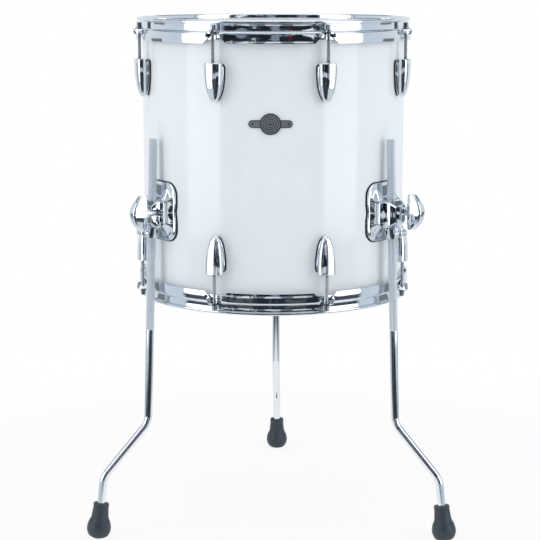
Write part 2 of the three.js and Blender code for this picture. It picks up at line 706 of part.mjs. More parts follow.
// Bracket base, with the leg's groove, the tab's slot and the T-bolt's threaded hole
function baseGeometry() {
  const { front, side } = tabPlace();
  const slotTall = TAB_HEIGHT / 2 + SLOT_PLAY;
  const slotLow = [front - TAB_THICKNESS - SLOT_PLAY, side - SLOT_PLAY, -slotTall];
  const slot = box(slotLow, [CUT_OVERRUN, -JAW_HINGE_SIDE + TAB_ROOT, slotTall]);
  const bottom = -BASE_BOSS_FRONT - BOLT_ENGAGEMENT - RUNNING_GAP;
  const thread = cylinderOutward(BOLT_RADIUS + RUNNING_GAP, bottom, CUT_OVERRUN, BOLT_SIDES);
  const base = solid(basePlate())
    .add(baseRidges(-1))
    .add(baseRidges(1))
    .add(baseBoss())
    .subtract(lockSpace())
    .subtract(shellSpace(BASE_HEIGHT).translate([-LEG_CIRCLE, 0, 0]))
    .subtract(legSpace(LEG_HOLE_RADIUS, BASE_HEIGHT))
    .subtract(solid(slot))
    .subtract(solid(thread.translate(0, BOLT_OFFSET, BOLT_RISE)));
  return geometryOf(base);
}

// The jaw's block: upright behind the shoulder, drawn in towards its front
function jawBlock() {
  const level = (x, hingeSide, boltSide, height) => {
    const outline = roundedRectangle(-hingeSide, boltSide, -height / 2, height / 2, JAW_BEVEL);
    return outline.map(([across, up]) => new THREE.Vector3(x, across, up));
  };
  const hingeSide = JAW_FRONT_HINGE_SIDE + JAW_BEVEL;
  const boltSide = JAW_FRONT_BOLT_SIDE + JAW_BEVEL;
  return loft([
    level(-JAW_BACK, JAW_HINGE_SIDE, JAW_BOLT_SIDE, JAW_HEIGHT),
    level(JAW_SHOULDER, JAW_HINGE_SIDE, JAW_BOLT_SIDE, JAW_HEIGHT - JAW_BEVEL),
    level(JAW_FRONT - JAW_BEVEL, hingeSide, boltSide, JAW_FRONT_HEIGHT + 2 * JAW_BEVEL),
    level(JAW_FRONT, JAW_FRONT_HINGE_SIDE, JAW_FRONT_BOLT_SIDE, JAW_FRONT_HEIGHT),
  ]);
}

// Clamp jaw: it closes over the leg, hinged at one side and drawn in by the T-bolt at the other
function jawGeometry() {
  const { front, side } = tabPlace();
  const tabTall = TAB_HEIGHT / 2;
  const root = -JAW_HINGE_SIDE + TAB_ROOT;
  const tab = box([front - TAB_THICKNESS, side, -tabTall], [front, root - SLOT_PLAY, tabTall]);
  const neckLow = [front - TAB_THICKNESS, root - SLOT_PLAY - TAB_THICKNESS, -tabTall];
  const neck = box(neckLow, [JAW_BEVEL, root - SLOT_PLAY, tabTall]);
  const slotWidth = BOLT_RADIUS + BOLT_SLOT_PLAY;
  const slotLow = [-CUT_OVERRUN, BOLT_OFFSET - slotWidth, BOLT_RISE - slotWidth];
  const slot = box(slotLow, [JAW_FRONT + CUT_OVERRUN, JAW_BOLT_SIDE + CUT_OVERRUN, BOLT_RISE + slotWidth]);
  const pocketLow = [JAW_FRONT - POCKET_DEPTH, -POCKET_HINGE_SIDE, -POCKET_HEIGHT / 2];
  const pocket = box(pocketLow, [JAW_FRONT + CUT_OVERRUN, POCKET_BOLT_SIDE, POCKET_HEIGHT / 2]);
  const jaw = solid(jawBlock())
    .subtract(legSpace(LEG_RADIUS + JAW_PLAY, JAW_HEIGHT))
    .subtract(solid(slot))
    .subtract(solid(pocket))
    .add(solid(tab))
    .add(solid(neck));
  return geometryOf(jaw);
}

// The T-bolt's handle: ovals from its lower end to its upper one, flat behind and bowed in front
function boltHandle() {
  const rings = HANDLE_SHARES.map((share) => {
    const bow = 1 - share ** 2;
    const depth = HANDLE_END_DEPTH + (HANDLE_DEPTH - HANDLE_END_DEPTH) * bow;
    const width = HANDLE_END_WIDTH + (HANDLE_WIDTH - HANDLE_END_WIDTH) * bow;
    const height = (share * HANDLE_LENGTH) / 2;
    const middle = HANDLE_BACK + depth / 2;
    const ring = oval(depth / 2, width / 2, HANDLE_SIDES);
    return ring.map(([outward, across]) => new THREE.Vector3(middle + outward, across, height));
  });
  return loft(rings);
}

// T-bolt: thread, hub and handle, on an axis that points away from the shell
function boltGeometry() {
  const hubBack = JAW_FRONT + HUB_GAP;
  const hubFront = HANDLE_BACK + HANDLE_END_DEPTH / 2;
  const tip = -BASE_BOSS_FRONT - BOLT_ENGAGEMENT;
  const stem = turned([
    [0, tip],
    [BOLT_RADIUS - HUB_BEVEL, tip],
    [BOLT_RADIUS, tip + HUB_BEVEL],
    [BOLT_RADIUS, hubBack],
    [HUB_RADIUS - HUB_BEVEL, hubBack],
    [HUB_RADIUS, hubBack + HUB_BEVEL],
    [HUB_RADIUS, hubFront],
    [0, hubFront],
  ], BOLT_SIDES);
  const bolt = solid(boltHandle()).add(solid(stem.rotateY(Math.PI / 2)));
  return geometryOf(bolt).translate(0, BOLT_OFFSET, BOLT_RISE);
}

// How far the lock's middle lies below the clamp's middle, along the leg
function lockDrop() {
  return JAW_HEIGHT / 2 + SEAT_GAP + LOCK_TOP_RADIUS * Math.tan(degrees(LEG_LEAN)) + LOCK_HEIGHT / 2;
}

// Memory lock: a collar on the leg, flat at the back, with a boss for its screw
function lockGeometry() {
  const tall = LOCK_HEIGHT / 2;
  const collar = loft([
    lockRing(LOCK_BOTTOM_RADIUS - LOCK_BEVEL, LOCK_BACK - LOCK_BEVEL, -tall),
    lockRing(LOCK_BOTTOM_RADIUS, LOCK_BACK, -tall + LOCK_BEVEL),
    lockRing(LOCK_TOP_RADIUS, LOCK_BACK, tall - LOCK_BEVEL),
    lockRing(LOCK_TOP_RADIUS - LOCK_BEVEL, LOCK_BACK - LOCK_BEVEL, tall),
  ]);
  const boss = cylinderOutward(LOCK_BOSS_RADIUS, 0, LOCK_BOSS_FRONT, BOLT_SIDES);
  const hole = cylinderOutward(SCREW_RADIUS + RUNNING_GAP, 0, LOCK_BOSS_FRONT + CUT_OVERRUN, ROD_SIDES);
  const bore = cylinder(LEG_HOLE_RADIUS, -LOCK_HEIGHT, LOCK_HEIGHT, LEG_SIDES);
  return geometryOf(solid(collar).add(solid(boss)).subtract(solid(bore)).subtract(solid(hole)));
}

// Two round lobes joined by a waist, as [sideways, up]
function wingOutline() {
  const centre = WING_SPAN / 2 - WING_LOBE_RADIUS;
  const rise = Math.asin(WING_WAIST / 2 / WING_LOBE_RADIUS);
  const outline = new THREE.Shape();
  outline.absarc(centre, 0, WING_LOBE_RADIUS, -Math.PI + rise, Math.PI - rise, false);
  outline.absarc(-centre, 0, WING_LOBE_RADIUS, rise, 2 * Math.PI - rise, false);
  return outline;
}

// Wing screw: its end bears on the leg, and its wings stand in front of the lock's boss
function screwGeometry() {
  const back = LOCK_BOSS_FRONT + WING_STANDOFF;
  const front = back + WING_THICKNESS;
  const wings = raisedOutward(wingOutline(), back, front);
  const stem = cylinderOutward(SCREW_RADIUS, LEG_RADIUS + SEAT_GAP, front + WING_CROWN, ROD_SIDES);
  return geometryOf(solid(wings).add(solid(stem)));
}

// Badge: a disc between two tabs with a hole in each, bent round the shell
function badgeGeometry() {
  const reach = BADGE_WIDTH / 2 - BADGE_TAB_HEIGHT / 2;
  const half = BADGE_TAB_HEIGHT / 2;
  const bar = new THREE.Shape();
  bar.absarc(reach, 0, half, -Math.PI / 2, Math.PI / 2, false);
  bar.absarc(-reach, 0, half, Math.PI / 2, (3 * Math.PI) / 2, false);
  for (const side of [-1, 1]) {
    bar.holes.push(new THREE.Path().absarc(side * BADGE_HOLE_OFFSET, 0, BADGE_HOLE_RADIUS, 0, 2 * Math.PI));
  }
  const face = SHELL_RADIUS + SEAT_GAP;
  const back = face - CUT_OVERRUN;
  const front = face + CUT_OVERRUN;
  const ring = (radius) => solid(cylinder(radius, -BADGE_WIDTH, BADGE_WIDTH, DRUM_SEGMENTS * 2));
  const plain = solid(raisedOutward(bar, back, front));
  const disc = solid(cylinderOutward(BADGE_DISC_RADIUS, back, front, BADGE_SIDES));
  const thick = face + BADGE_THICKNESS;
  const badge = plain.intersect(ring(thick)).add(disc.intersect(ring(thick + BADGE_DISC_RISE)));
  return geometryOf(badge.subtract(ring(face)));
}

// Assembly
const drum = new THREE.Group();

// A piece made as the upper one, and the same piece turned over for the lower end
function addBothEnds(parent, names, geometry, material) {
  const upper = piece(names[0], geometry, material);
  upper.position.z = RIM_TOP;
  const lower = piece(names[1], geometry, material);
  lower.position.z = RIM_BOTTOM;
  lower.rotation.x = Math.PI;
  parent.add(upper, lower);
}

function addBody() {
  const shell = piece("shell", shellGeometry(), LACQUER);
  shell.position.z = SHELL_MIDDLE;
  drum.add(shell);
  addBothEnds(drum, ["batter_head", "resonant_head"], headGeometry(), FILM);
  addBothEnds(drum, ["batter_hoop", "resonant_hoop"], hoopGeometry(), CHROME);
  const front = station(0);
  const badge = piece("badge", badgeGeometry(), GUNMETAL);
  badge.position.z = BADGE_HEIGHT;
  front.add(badge);
  drum.add(front);
}

function addTensioning() {
  const lug = lugGeometry().translate(0, 0, -LUG_MOUTH_DEPTH);
  const rod = rodGeometry();
  eachLug((azimuth, number) => {
    const place = station(azimuth);
    addBothEnds(place, [`upper_lug_${number}`, `lower_lug_${number}`], lug, CHROME);
    addBothEnds(place, [`upper_tension_rod_${number}`, `lower_tension_rod_${number}`], rod, BRUSHED);
    drum.add(place);
  });
}

function addPieces(parent, side, shapes) {
  for (const [name, [shape, material]] of Object.entries(shapes)) {
    parent.add(piece(`${side}_${name}`, shape, material));
  }
}

function addLegs() {
  const fixed = {
    bracket_base: [baseGeometry(), CHROME],
    clamp_jaw: [jawGeometry(), CHROME],
    t_bolt: [boltGeometry(), CHROME],
  };
  const sliding = { memory_lock: [lockGeometry(), CHROME], lock_screw: [screwGeometry(), CHROME] };
  for (const [side, azimuth] of Object.entries(LEG_AZIMUTHS)) {
    const turn = LEG_TURNS[side];
    const place = station(azimuth);
    addPieces(place, side, { leg: [legGeometry(turn), BRUSHED], foot: [footGeometry(turn), RUBBER] });
    const bracket = new THREE.Group();
    bracket.position.set(LEG_CIRCLE, 0, BRACKET_HEIGHT);
    addPieces(bracket, side, fixed);
    const leaning = new THREE.Group();
    leaning.rotation.y = -degrees(LEG_LEAN);
    const lock = new THREE.Group();
    lock.position.z = -lockDrop();
    addPieces(lock, side, sliding);
    leaning.add(lock);
    bracket.add(leaning);
    place.add(bracket);
    drum.add(place);
  }
}

addBody();
addTensioning();
addLegs();

// The origin is on the floor, under the middle of the whole object
drum.updateMatrixWorld(true);
const bounds = new THREE.Box3().setFromObject(drum, true);
const middle = bounds.getCenter(new THREE.Vector3());
drum.position.set(-middle.x, -middle.y, -bounds.min.z);

const floorTom = new THREE.Group();
floorTom.add(drum);

export default floorTom;
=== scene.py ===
from math import acos, asin, atan2, cos, degrees, pi, radians, sin, sqrt, tan

import bmesh
import bpy
from mathutils import Matrix, Vector


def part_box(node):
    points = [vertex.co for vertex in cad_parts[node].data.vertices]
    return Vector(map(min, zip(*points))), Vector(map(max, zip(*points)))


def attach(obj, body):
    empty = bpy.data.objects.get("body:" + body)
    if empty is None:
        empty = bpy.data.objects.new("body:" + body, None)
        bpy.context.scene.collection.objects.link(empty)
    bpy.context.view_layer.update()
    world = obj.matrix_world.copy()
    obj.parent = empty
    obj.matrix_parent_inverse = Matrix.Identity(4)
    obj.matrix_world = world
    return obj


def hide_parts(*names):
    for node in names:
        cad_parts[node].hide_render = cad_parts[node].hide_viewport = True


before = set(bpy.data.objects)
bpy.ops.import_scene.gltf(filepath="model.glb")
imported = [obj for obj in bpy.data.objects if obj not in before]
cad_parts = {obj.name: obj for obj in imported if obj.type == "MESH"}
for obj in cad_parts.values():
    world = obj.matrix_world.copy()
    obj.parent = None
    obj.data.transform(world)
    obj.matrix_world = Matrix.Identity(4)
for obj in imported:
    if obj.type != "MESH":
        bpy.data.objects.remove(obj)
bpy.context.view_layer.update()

MM = 0.001
UP = Vector((0, 0, 1))

# Sizes taken from the frame
shell_low, shell_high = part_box("shell")
AXIS = Vector(((shell_low.x + shell_high.x) / 2, (shell_low.y + shell_high.y) / 2, 0))
SHELL_RADIUS = (shell_high.x - shell_low.x) / 2 / MM
SHELL_BOTTOM = shell_low.z / MM
SHELL_TOP = shell_high.z / MM
RIM_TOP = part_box("batter_hoop")[1].z / MM
RIM_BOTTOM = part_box("resonant_hoop")[0].z / MM

# Shell
SHELL_WALL = 7.5
EDGE_ROUND = 2.0
EDGE_LAND = 0.8
ROUND_SEGMENTS = 288

# Cuts run past what they cut, bores leave a little play, and gaskets stand out round their castings
OVERRUN = 10.0
PLAY = 0.4
GASKET_OVERHANG = 1.3

# Hoops
SHEET = 2.3
HOOP_HEIGHT = 33.5
WALL_RADIUS = SHELL_RADIUS + 2.2
WALL_HEIGHT = 18.0
BEAD_WIDTH = 5.8
BEAD_HEIGHT = 5.0
SKIRT_RADIUS = WALL_RADIUS + 5.0
BEND_ROUND = 4.2
EAR_TOP = 16.0
EAR_TOP_WIDTH = 16.0
EAR_FOOT_WIDTH = 25.0
EAR_FOOT = 24.0
EAR_ROUND = 13.0
EAR_ROUND_CENTRE = SHELL_RADIUS + 9.8
NOTCH_WIDTH = 38.0
HOLE_RADIUS = 3.2

# Heads
FILM_THICKNESS = 0.5
FILM_FLAT = 120.0
COLLAR_GAP = 0.3
COLLAR_THICKNESS = 1.2
COLLAR_ROUND = 2.4
FLESH_WIDTH = 4.4
FLESH_HEIGHT = 9.7

# Tension rods
ROD_CIRCLE = SHELL_RADIUS + 13.3
ROD_RADIUS = 2.5
THREAD_PITCH = 1.06
THREAD_DEPTH = 0.28
THREAD_START = 30.0
THREAD_TIP = 0.6
ROD_ENGAGEMENT = 17.0
WASHER_RADIUS = 6.2
WASHER_HEIGHT = 1.2
COLLET_RADIUS = 5.0
COLLET_HEIGHT = 1.6
KEY_SIDE = 6.35
KEY_HEIGHT = 7.4
KEY_TAPER = 0.9

# Lugs
LUG_MOUTH = 60.6
LUG_LENGTH = 57.4
LUG_WIDTH = 26.6
LUG_CORNER = 6.0
LUG_INNER = SHELL_RADIUS + 4.2
LUG_OUTER = SHELL_RADIUS + 20.4
LUG_TIP_OUTER = SHELL_RADIUS + 8.4
LUG_SQUARENESS = 2.7
LUG_TAPER = 2.5
LUG_RINGS = 22
LUG_GASKET = 1.9
LUG_SCREWS = (12.0, 40.0)
FLANGE_THICKNESS = 1.9
FLANGE_WIDTH = 24.6
FLANGE_LENGTH = 51.0
FLANGE_DROP = 2.6
NECK_WIDTH = 19.0
NECK_LENGTH = 45.0
SOCKET_RADIUS = 5.6
SOCKET_DEPTH = 6.0

# Legs: the front two are turned outwards in their clamps
LEG_AZIMUTHS = {"left": -55.0, "right": 55.0, "back": 180.0}
LEG_TURNS = {"left": -11.5, "right": 11.5, "back": 0.0}
LEG_RADIUS = 6.35
LEG_SIDES = 40
LEG_CIRCLE = SHELL_RADIUS + 17.1
LEG_LEAN = 2.02
BRACKET_HEIGHT = 498.0
LEG_TOP = BRACKET_HEIGHT + 112
LEG_TOP_BEVEL = 0.8
UPPER_BEND = 172.7
LOWER_BEND = 94.6
MIDDLE_ANGLE = 42.9
FOOT_ANGLE = 7.0
BEND_RADIUS = 30.0
LEG_END = 13.0
KNURL_END = 319.0
KNURL_COUNT = 26
KNURL_PITCH = 1.5
KNURL_DEPTH = 0.12

# Feet, as (radius, height) from the tread up to the mouth
FOOT_LENGTH = 55.0
FOOT_TREAD = 8.0
FOOT_PROFILE = [(FOOT_TREAD, 0), (14.6, 4.1), (17.9, 11), (18.3, 17.9), (16.6, 25.5), (13.6, 32), (12.5, 40)]
FOOT_PROFILE += [(11.7, 50)]
FOOT_MOUTH = 11.5

# Bracket base, measured from the leg's axis at the clamp's middle
GASKET = 0.9
BASE_WIDTH = 76.0
BASE_HEIGHT = 88.0
BASE_RISE = 3.2
BASE_CORNER = 18.0
BASE_EDGE = 2.4
PLATE_BACK = SHELL_RADIUS - LEG_CIRCLE + GASKET
PLATE_FRONT = PLATE_BACK + BASE_EDGE
BASE_RINGS = 44
BASE_DOME = 1.2
WAIST_DEPTH = 1.6
WAIST_LENGTH = 13.0
BOSS_FRONT = -3.6
BOSS_SIDE = 25.4
BOSS_WALL = 9.0
BOSS_HALF_HEIGHT = 15.5
BOSS_SLOPE = 1.6
RIDGE_INNER = 10.0
RIDGE_TIP_SIDE = 21.0
RIDGE_TIP_RISE = 37.0
RIDGE_SLOPE = 0.9
RIDGE_DROP = 1.6
BASE_GASKET_STRETCH = 1.035
BASE_SCREWS = ((-26, -30), (26, -30), (-26, 30), (26, 30))

# Clamp jaw
JAW_HALF_HEIGHT = 20.0
JAW_FRONT_HALF_HEIGHT = 13.0
JAW_BACK = -2.8
JAW_FRONT = 12.0
JAW_HINGE_SIDE = 17.0
JAW_BOLT_SIDE = 22.0
JAW_PLAY = 1.2
JAW_POCKET = (-7, 8, -10.5, 11.5)
JAW_RECESS = (-10.8, 10.8, 0.6, 10.5)
CLAMP_REACH = 90.0
TAB_FRONT = BOSS_FRONT - 0.6
TAB_HEIGHT = 10.6
TAB_THICKNESS = 2.6
TAB_SIDE = -JAW_HINGE_SIDE - 7.0
TAB_ROOT = -JAW_HINGE_SIDE + 4.0
SLOT_PLAY = 0.9

# T-bolt
BOLT_OFFSET = 16.6
BOLT_RISE = 3.0
BOLT_RADIUS = 4.0
BOLT_PITCH = 1.2
BOLT_THREAD_DEPTH = 0.4
BOLT_TIP = BOSS_FRONT - 8
HUB_BACK = JAW_FRONT + 2.9
HUB_RADIUS = 6.6
HANDLE_BACK = 20.4
HANDLE_LENGTH = 53.0
HANDLE_DEPTH = 24.0
HANDLE_END_DEPTH = 10.0
HANDLE_WIDTH = 16.0
HANDLE_END_WIDTH = 10.0
HANDLE_RINGS = 24

# Memory lock
LOCK_TOP_RADIUS = 12.6
LOCK_BOTTOM_RADIUS = 9.8
LOCK_BACK = 9.4
LOCK_HEIGHT = 16.4
LOCK_DROP = JAW_HALF_HEIGHT + 0.3 + LOCK_TOP_RADIUS * tan(radians(LEG_LEAN)) + LOCK_HEIGHT / 2
LOCK_BOSS_RADIUS = 5.6
LOCK_BOSS_FRONT = 12.8
SCREW_RADIUS = 2.4
SCREW_HUB = 4.4
WING_SPAN = 30.0
WING_LOBE = 5.0
WING_WAIST = 4.6
WING_THICKNESS = 4.4

# Mounting screws inside the shell, each with a washer
MOUNT_RADIUS = 4.2
MOUNT_HEIGHT = 3.5

# Badge
BADGE_HEIGHT = 639.4
BADGE_BACK = SHELL_RADIUS + 0.3
BADGE_DISC = 15.5
BADGE_WIDTH = 64.0
BADGE_TAB = 11.0
BADGE_BORDER = 1.2
BADGE_POCKET = 0.4
BADGE_HOLE_OFFSET = 26.0
BADGE_THICKNESS = 1.3
BADGE_FRONT = BADGE_BACK + BADGE_THICKNESS
BADGE_FLOOR = BADGE_FRONT - BADGE_POCKET
BADGE_RISE = 2.4
BADGE_RIM = 1.3
BADGE_GROOVE = 0.5
BADGE_RINGS = 4
BADGE_RING_PITCH = 3.2

# Camera: it stands a little to the right of the front and looks down
CAMERA_DISTANCE = 2.478
CAMERA_AZIMUTH = 1.19
CAMERA_HEIGHT = 0.851
CAMERA_PITCH = 10.59
CAMERA_TURN = 1.314
LENS = 105.3
SENSOR = 36.0

# Studio: lamps as azimuth, height, distance, size and power, and dark flags as azimuth from, azimuth to,
# depth and top
LAMPS = {
    "left_softbox": (-59.5, 1.3, 2.2, (1.25, 2.7), 18),
    "right_softbox": (59.5, 1.3, 2.2, (1.25, 2.7), 18),
    "top_softbox": (None, 0.8, 2.0, (2.0, 2.0), 10),
}
FLAGS = ((40.5, 43.5, 0.9, 0.5), (75.5, 78, 0.8, 0.5), (103, 121, 0.75, -0.07))
FLOOR_WHITE_SHARE = 0.88
FLOOR_RADIUS = 1.4
FLOOR_DROP = 0.0002


# Node trees
def node(tree, kind, inputs=None, **settings):
    made = tree.nodes.new(kind)
    for name, value in settings.items():
        setattr(made, name, value)
    for name, value in (inputs or {}).items():
        if isinstance(value, bpy.types.NodeSocket):
            tree.links.new(value, made.inputs[name])
        else:
            made.inputs[name].default_value = value
    return made


def calc(tree, operation, *values):
    return node(tree, "ShaderNodeMath", dict(enumerate(values)), operation=operation).outputs[0]


def ramp(tree, value, low, high, start=0.0, end=1.0):
    inputs = {"Value": value, "From Min": low, "From Max": high, "To Min": start, "To Max": end}
    return node(tree, "ShaderNodeMapRange", inputs, interpolation_type="SMOOTHSTEP").outputs[0]


def falling(tree, value, low, high, start=1.0):
    return ramp(tree, value, low, high, start, 0.0)


def band(tree, value, low, high, soft):
    """1 between two values and 0 beyond them, with soft edges."""
    return calc(tree, "MULTIPLY", ramp(tree, value, low, low + soft), falling(tree, value, high - soft, high))


def blend_colours(tree, share, first, second):
    made = node(tree, "ShaderNodeMix", {"Factor": share}, data_type="RGBA")
    for name, value in ((6, first), (7, second)):
        if isinstance(value, bpy.types.NodeSocket):
            tree.links.new(value, made.inputs[name])
        else:
            made.inputs[name].default_value = (*value, 1)
    return made.outputs[2]


def noise(tree, scale, detail=2.0, stretch=None):
    vector = tree.nodes.new("ShaderNodeTexCoord").outputs["Object"]
    if stretch:
        vector = node(tree, "ShaderNodeMapping", {"Vector": vector, "Scale": stretch}).outputs[0]
    inputs = {"Vector": vector, "Scale": scale, "Detail": detail}
    return node(tree, "ShaderNodeTexNoise", inputs).outputs["Fac"]


def material(name, colour, roughness, metallic=0.0, **settings):
    made = bpy.data.materials.new(name)
    made.use_nodes = True
    shader = made.node_tree.nodes["Principled BSDF"]
    shader.inputs["Base Color"].default_value = (*colour, 1)
    shader.inputs["Roughness"].default_value = roughness
    shader.inputs["Metallic"].default_value = metallic
    for key, value in settings.items():
        shader.inputs[key.replace("_", " ")].default_value = value
    return made, made.node_tree, shader


def tinted(tree, shader, share, first, second, low=0.3, high=0.7):
    colour = blend_colours(tree, ramp(tree, share, low, high), first, second)
    tree.links.new(colour, shader.inputs["Base Color"])


def bump(tree, shader, height, distance, strength=1.0):
    made = node(tree, "ShaderNodeBump", {"Height": height, "Distance": distance, "Strength": strength})
    tree.links.new(made.outputs[0], shader.inputs["Normal"])


def uneven(tree, shader, scale, low, high):
    """Roughness that wanders a little over the surface."""
    tree.links.new(ramp(tree, noise(tree, scale, 3.0), 0.3, 0.7, low, high), shader.inputs["Roughness"])


def plain_look(name, colour, roughness, metallic, wander, grain=None, alpha=1.0):
    made, tree, shader = material(name, colour, roughness, metallic, Alpha=alpha)
    uneven(tree, shader, *wander)
    if grain:
        scale, detail, depth, strength = grain
        bump(tree, shader, noise(tree, scale, detail), depth, strength)
    return made


def white_lacquer():
    coat = {"Coat_Weight": 0.12, "Coat_Roughness": 0.04}
    made, tree, shader = material("white_lacquer", (0.85, 0.9, 0.94), 0.26, **coat)
    tinted(tree, shader, noise(tree, 9.0), (0.84, 0.89, 0.93), (0.86, 0.91, 0.95))
    uneven(tree, shader, 30.0, 0.08, 0.14)
    bump(tree, shader, noise(tree, 140.0), 0.0002, 0.25)
    return made


def maple():
    made, tree, shader = material("maple_ply", (0.6, 0.4, 0.22), 0.42)
    grain = noise(tree, 40.0, 4.0, (0.3, 0.3, 2.4))
    fine = noise(tree, 420.0, 2.0, (0.08, 0.08, 1.0))
    share = calc(tree, "ADD", calc(tree, "MULTIPLY", grain, 0.7), calc(tree, "MULTIPLY", fine, 0.3))
    tinted(tree, shader, share, (0.5, 0.31, 0.16), (0.7, 0.5, 0.3), 0.35, 0.65)
    bump(tree, shader, fine, 0.0002, 0.3)
    return made


def knurled_steel():
    """Two sets of ridges that cross on the bar."""
    made, tree, shader = material("knurled_steel", (0.84, 0.91, 0.98), 0.3, 1.0)
    split = node(tree, "ShaderNodeSeparateXYZ", {"Vector": tree.nodes.new("ShaderNodeUVMap").outputs[0]})
    around = calc(tree, "MULTIPLY", split.outputs[0], float(KNURL_COUNT))
    along = calc(tree, "DIVIDE", split.outputs[1], KNURL_PITCH)
    ridges = [calc(tree, "PINGPONG", calc(tree, sense, around, along), 0.5) for sense in ("ADD", "SUBTRACT")]
    height = calc(tree, "MINIMUM", *ridges)
    bump(tree, shader, height, 0.0012)
    tree.links.new(ramp(tree, height, 0.0, 0.3, 0.42, 0.24), shader.inputs["Roughness"])
    return made


# Plain looks, as colour, roughness, metallic, how the roughness wanders (scale, least, most) and the bump
# (scale, detail, depth, strength)
CHROME = (0.81, 0.85, 0.89)
STILL_CHROME = (60.0, 0.035, 0.075)
GUNMETAL = (0.36, 1.0, (90.0, 0.33, 0.41))
RUBBER_GRAIN = (900.0, 2.0, 0.0002, 0.4)
PLAIN_LOOKS = {
    "hoop_chrome": (CHROME, 0.06, 1.0, (60.0, 0.042, 0.09), (90.0, 1.0, 0.00002, 0.5)),
    "casting_chrome": (CHROME, 0.05, 1.0, STILL_CHROME, (90.0, 1.0, 0.00004, 0.5)),
    "polished_steel": (CHROME, 0.05, 1.0, STILL_CHROME, (90.0, 1.0, 0.00001, 0.5)),
    "rod_steel": ((0.36, 0.385, 0.42), 0.24, 1.0, (300.0, 0.14, 0.3)),
    "badge_metal": ((0.62, 0.64, 0.67), *GUNMETAL),
    # A darker copy of the badge's metal, as painted shade on its rims, grooves and pins
    "badge_painted_shade": ((0.14, 0.15, 0.18), *GUNMETAL),
    "foot_rubber": ((0.025, 0.038, 0.055), 0.46, 0.0, (120.0, 0.38, 0.56), RUBBER_GRAIN),
    "gasket_rubber": ((0.008, 0.008, 0.01), 0.6, 0.0, (120.0, 0.52, 0.7), RUBBER_GRAIN),
    "coated_film": ((0.86, 0.86, 0.84), 0.5, 0.0, (500.0, 0.4, 0.62), (1500.0, 3.0, 0.0002, 0.5)),
    "clear_film": ((0.93, 0.94, 0.95), 0.12, 0.0, (25.0, 0.08, 0.2), None, 0.38),
}
LOOKS = {name: plain_look(name, *look) for name, look in PLAIN_LOOKS.items()}
LOOKS |= {"white_lacquer": white_lacquer(), "maple": maple(), "knurled_steel": knurled_steel()}


# Outlines
def filleted(corners, steps=6):
    """A closed outline through (x, y, radius) corners, each rounded by an arc."""
    outline = []
    count = len(corners)
    for index, (x, y, radius) in enumerate(corners):
        here = Vector((x, y))
        if radius <= 0:
            outline.append(here)
            continue
        back = (Vector(corners[index - 1][:2]) - here).normalized()
        ahead = (Vector(corners[(index + 1) % count][:2]) - here).normalized()
        half = acos(max(-1.0, min(1.0, back.dot(ahead)))) / 2
        centre = here + (back + ahead).normalized() * (radius / sin(half))
        spoke = here + back * (radius / tan(half)) - centre
        turn = (pi - 2 * half) * (-1 if back.cross(ahead) > 0 else 1)
        outline += [centre + Matrix.Rotation(turn * step / steps, 2) @ spoke for step in range(steps + 1)]
    return outline


def rounded_rectangle(left, right, low, high, radius, steps=6):
    corners = ((right, low), (right, high), (left, high), (left, low))
    return filleted([(x, y, radius) for x, y in corners], steps)


def circle(radius, count, start=0.0):
    turns = [start + 2 * pi * index / count for index in range(count)]
    return [Vector((radius * cos(turn), radius * sin(turn))) for turn in turns]


def superellipse(half_x, half_y, power, count):
    points = []
    for index in range(count):
        angle = 2 * pi * index / count
        across, up = cos(angle), sin(angle)
        x = half_x * abs(across) ** (2 / power) * (1 if across >= 0 else -1)
        y = half_y * abs(up) ** (2 / power) * (1 if up >= 0 else -1)
        points.append(Vector((x, y)))
    return points


def arc(x, y, radius, start, sweep, steps):
    """Points on an arc round a centre, its start and its sweep in degrees."""
    turns = [radians(start + sweep * step / steps) for step in range(steps + 1)]
    return [Vector((x + radius * cos(turn), y + radius * sin(turn))) for turn in turns]


def level(outline, height):
    return [Vector((*point, height)) for point in outline]


def upright(outline, depth):
    return [Vector((depth, *point)) for point in outline]


# Meshes: each maker returns (points, faces)
def loft(rings, ends=True, loop=False):
    """A skin through rings that have the same number of points."""
    count = len(rings[0])
    points = [point for ring in rings for point in ring]
    faces = []
    for row in range(len(rings) if loop else len(rings) - 1):
        low = row * count
        high = (row + 1) % len(rings) * count
        for index in range(count):
            after = (index + 1) % count
            faces.append((low + index, low + after, high + after, high + index))
    if ends and not loop:
        faces.append(tuple(reversed(range(count))))
        faces.append(tuple(range(len(points) - count, len(points))))
    return points, faces


def turned(profile, segments, loop=True):
    """A (radius, height) profile turned about Z."""
    return loft([level(circle(max(radius, 0), segments), height) for radius, height in profile], False, loop)


def ring(inner, outer, low, high, rounding, segments, steps=2):
    """A turned ring, rounded at its section's corners: inner low, outer low, outer high and inner high."""
    corners = ((inner, low), (outer, low), (outer, high), (inner, high))
    return turned(filleted([(*corner, radius) for corner, radius in zip(corners, rounding)], steps), segments)


def thread(radius, depth, low, high, pitch):
    """The threaded part of a profile, up to where the bar is plain."""
    profile = []
    while low < high:
        profile += [(radius, low + pitch / 2), (radius - depth, low + pitch)]
        low += pitch
    return [*profile, (radius, low + pitch / 2)]


def flat_prism(outline, low, high):
    return loft([level(outline, low), level(outline, high)])


def box_form(low, high):
    (left, near, bottom), (right, far, top) = low, high
    return flat_prism(((left, near), (right, near), (right, far), (left, far)), bottom, top)


def raised(outline, low, high, bevel=0.0, steps=3):
    """An outline in XY raised along Z, its edges rounded inwards."""
    centre = sum(outline, Vector((0, 0))) / len(outline)
    reach = max((point - centre).length for point in outline)
    turns = [radians(90 * step / steps) for step in range(steps + 1)] if bevel else [0.0]
    edge = [(bevel * (1 - sin(turn)), bevel * (1 - cos(turn))) for turn in turns]
    heights = [(low + rise, inset) for rise, inset in reversed(edge)]
    heights += [(high - drop, inset) for drop, inset in edge]
    rings = []
    for height, inset in heights:
        share = 1 - inset / reach
        rings.append(level([centre + (point - centre) * share for point in outline], height))
    return loft(rings)


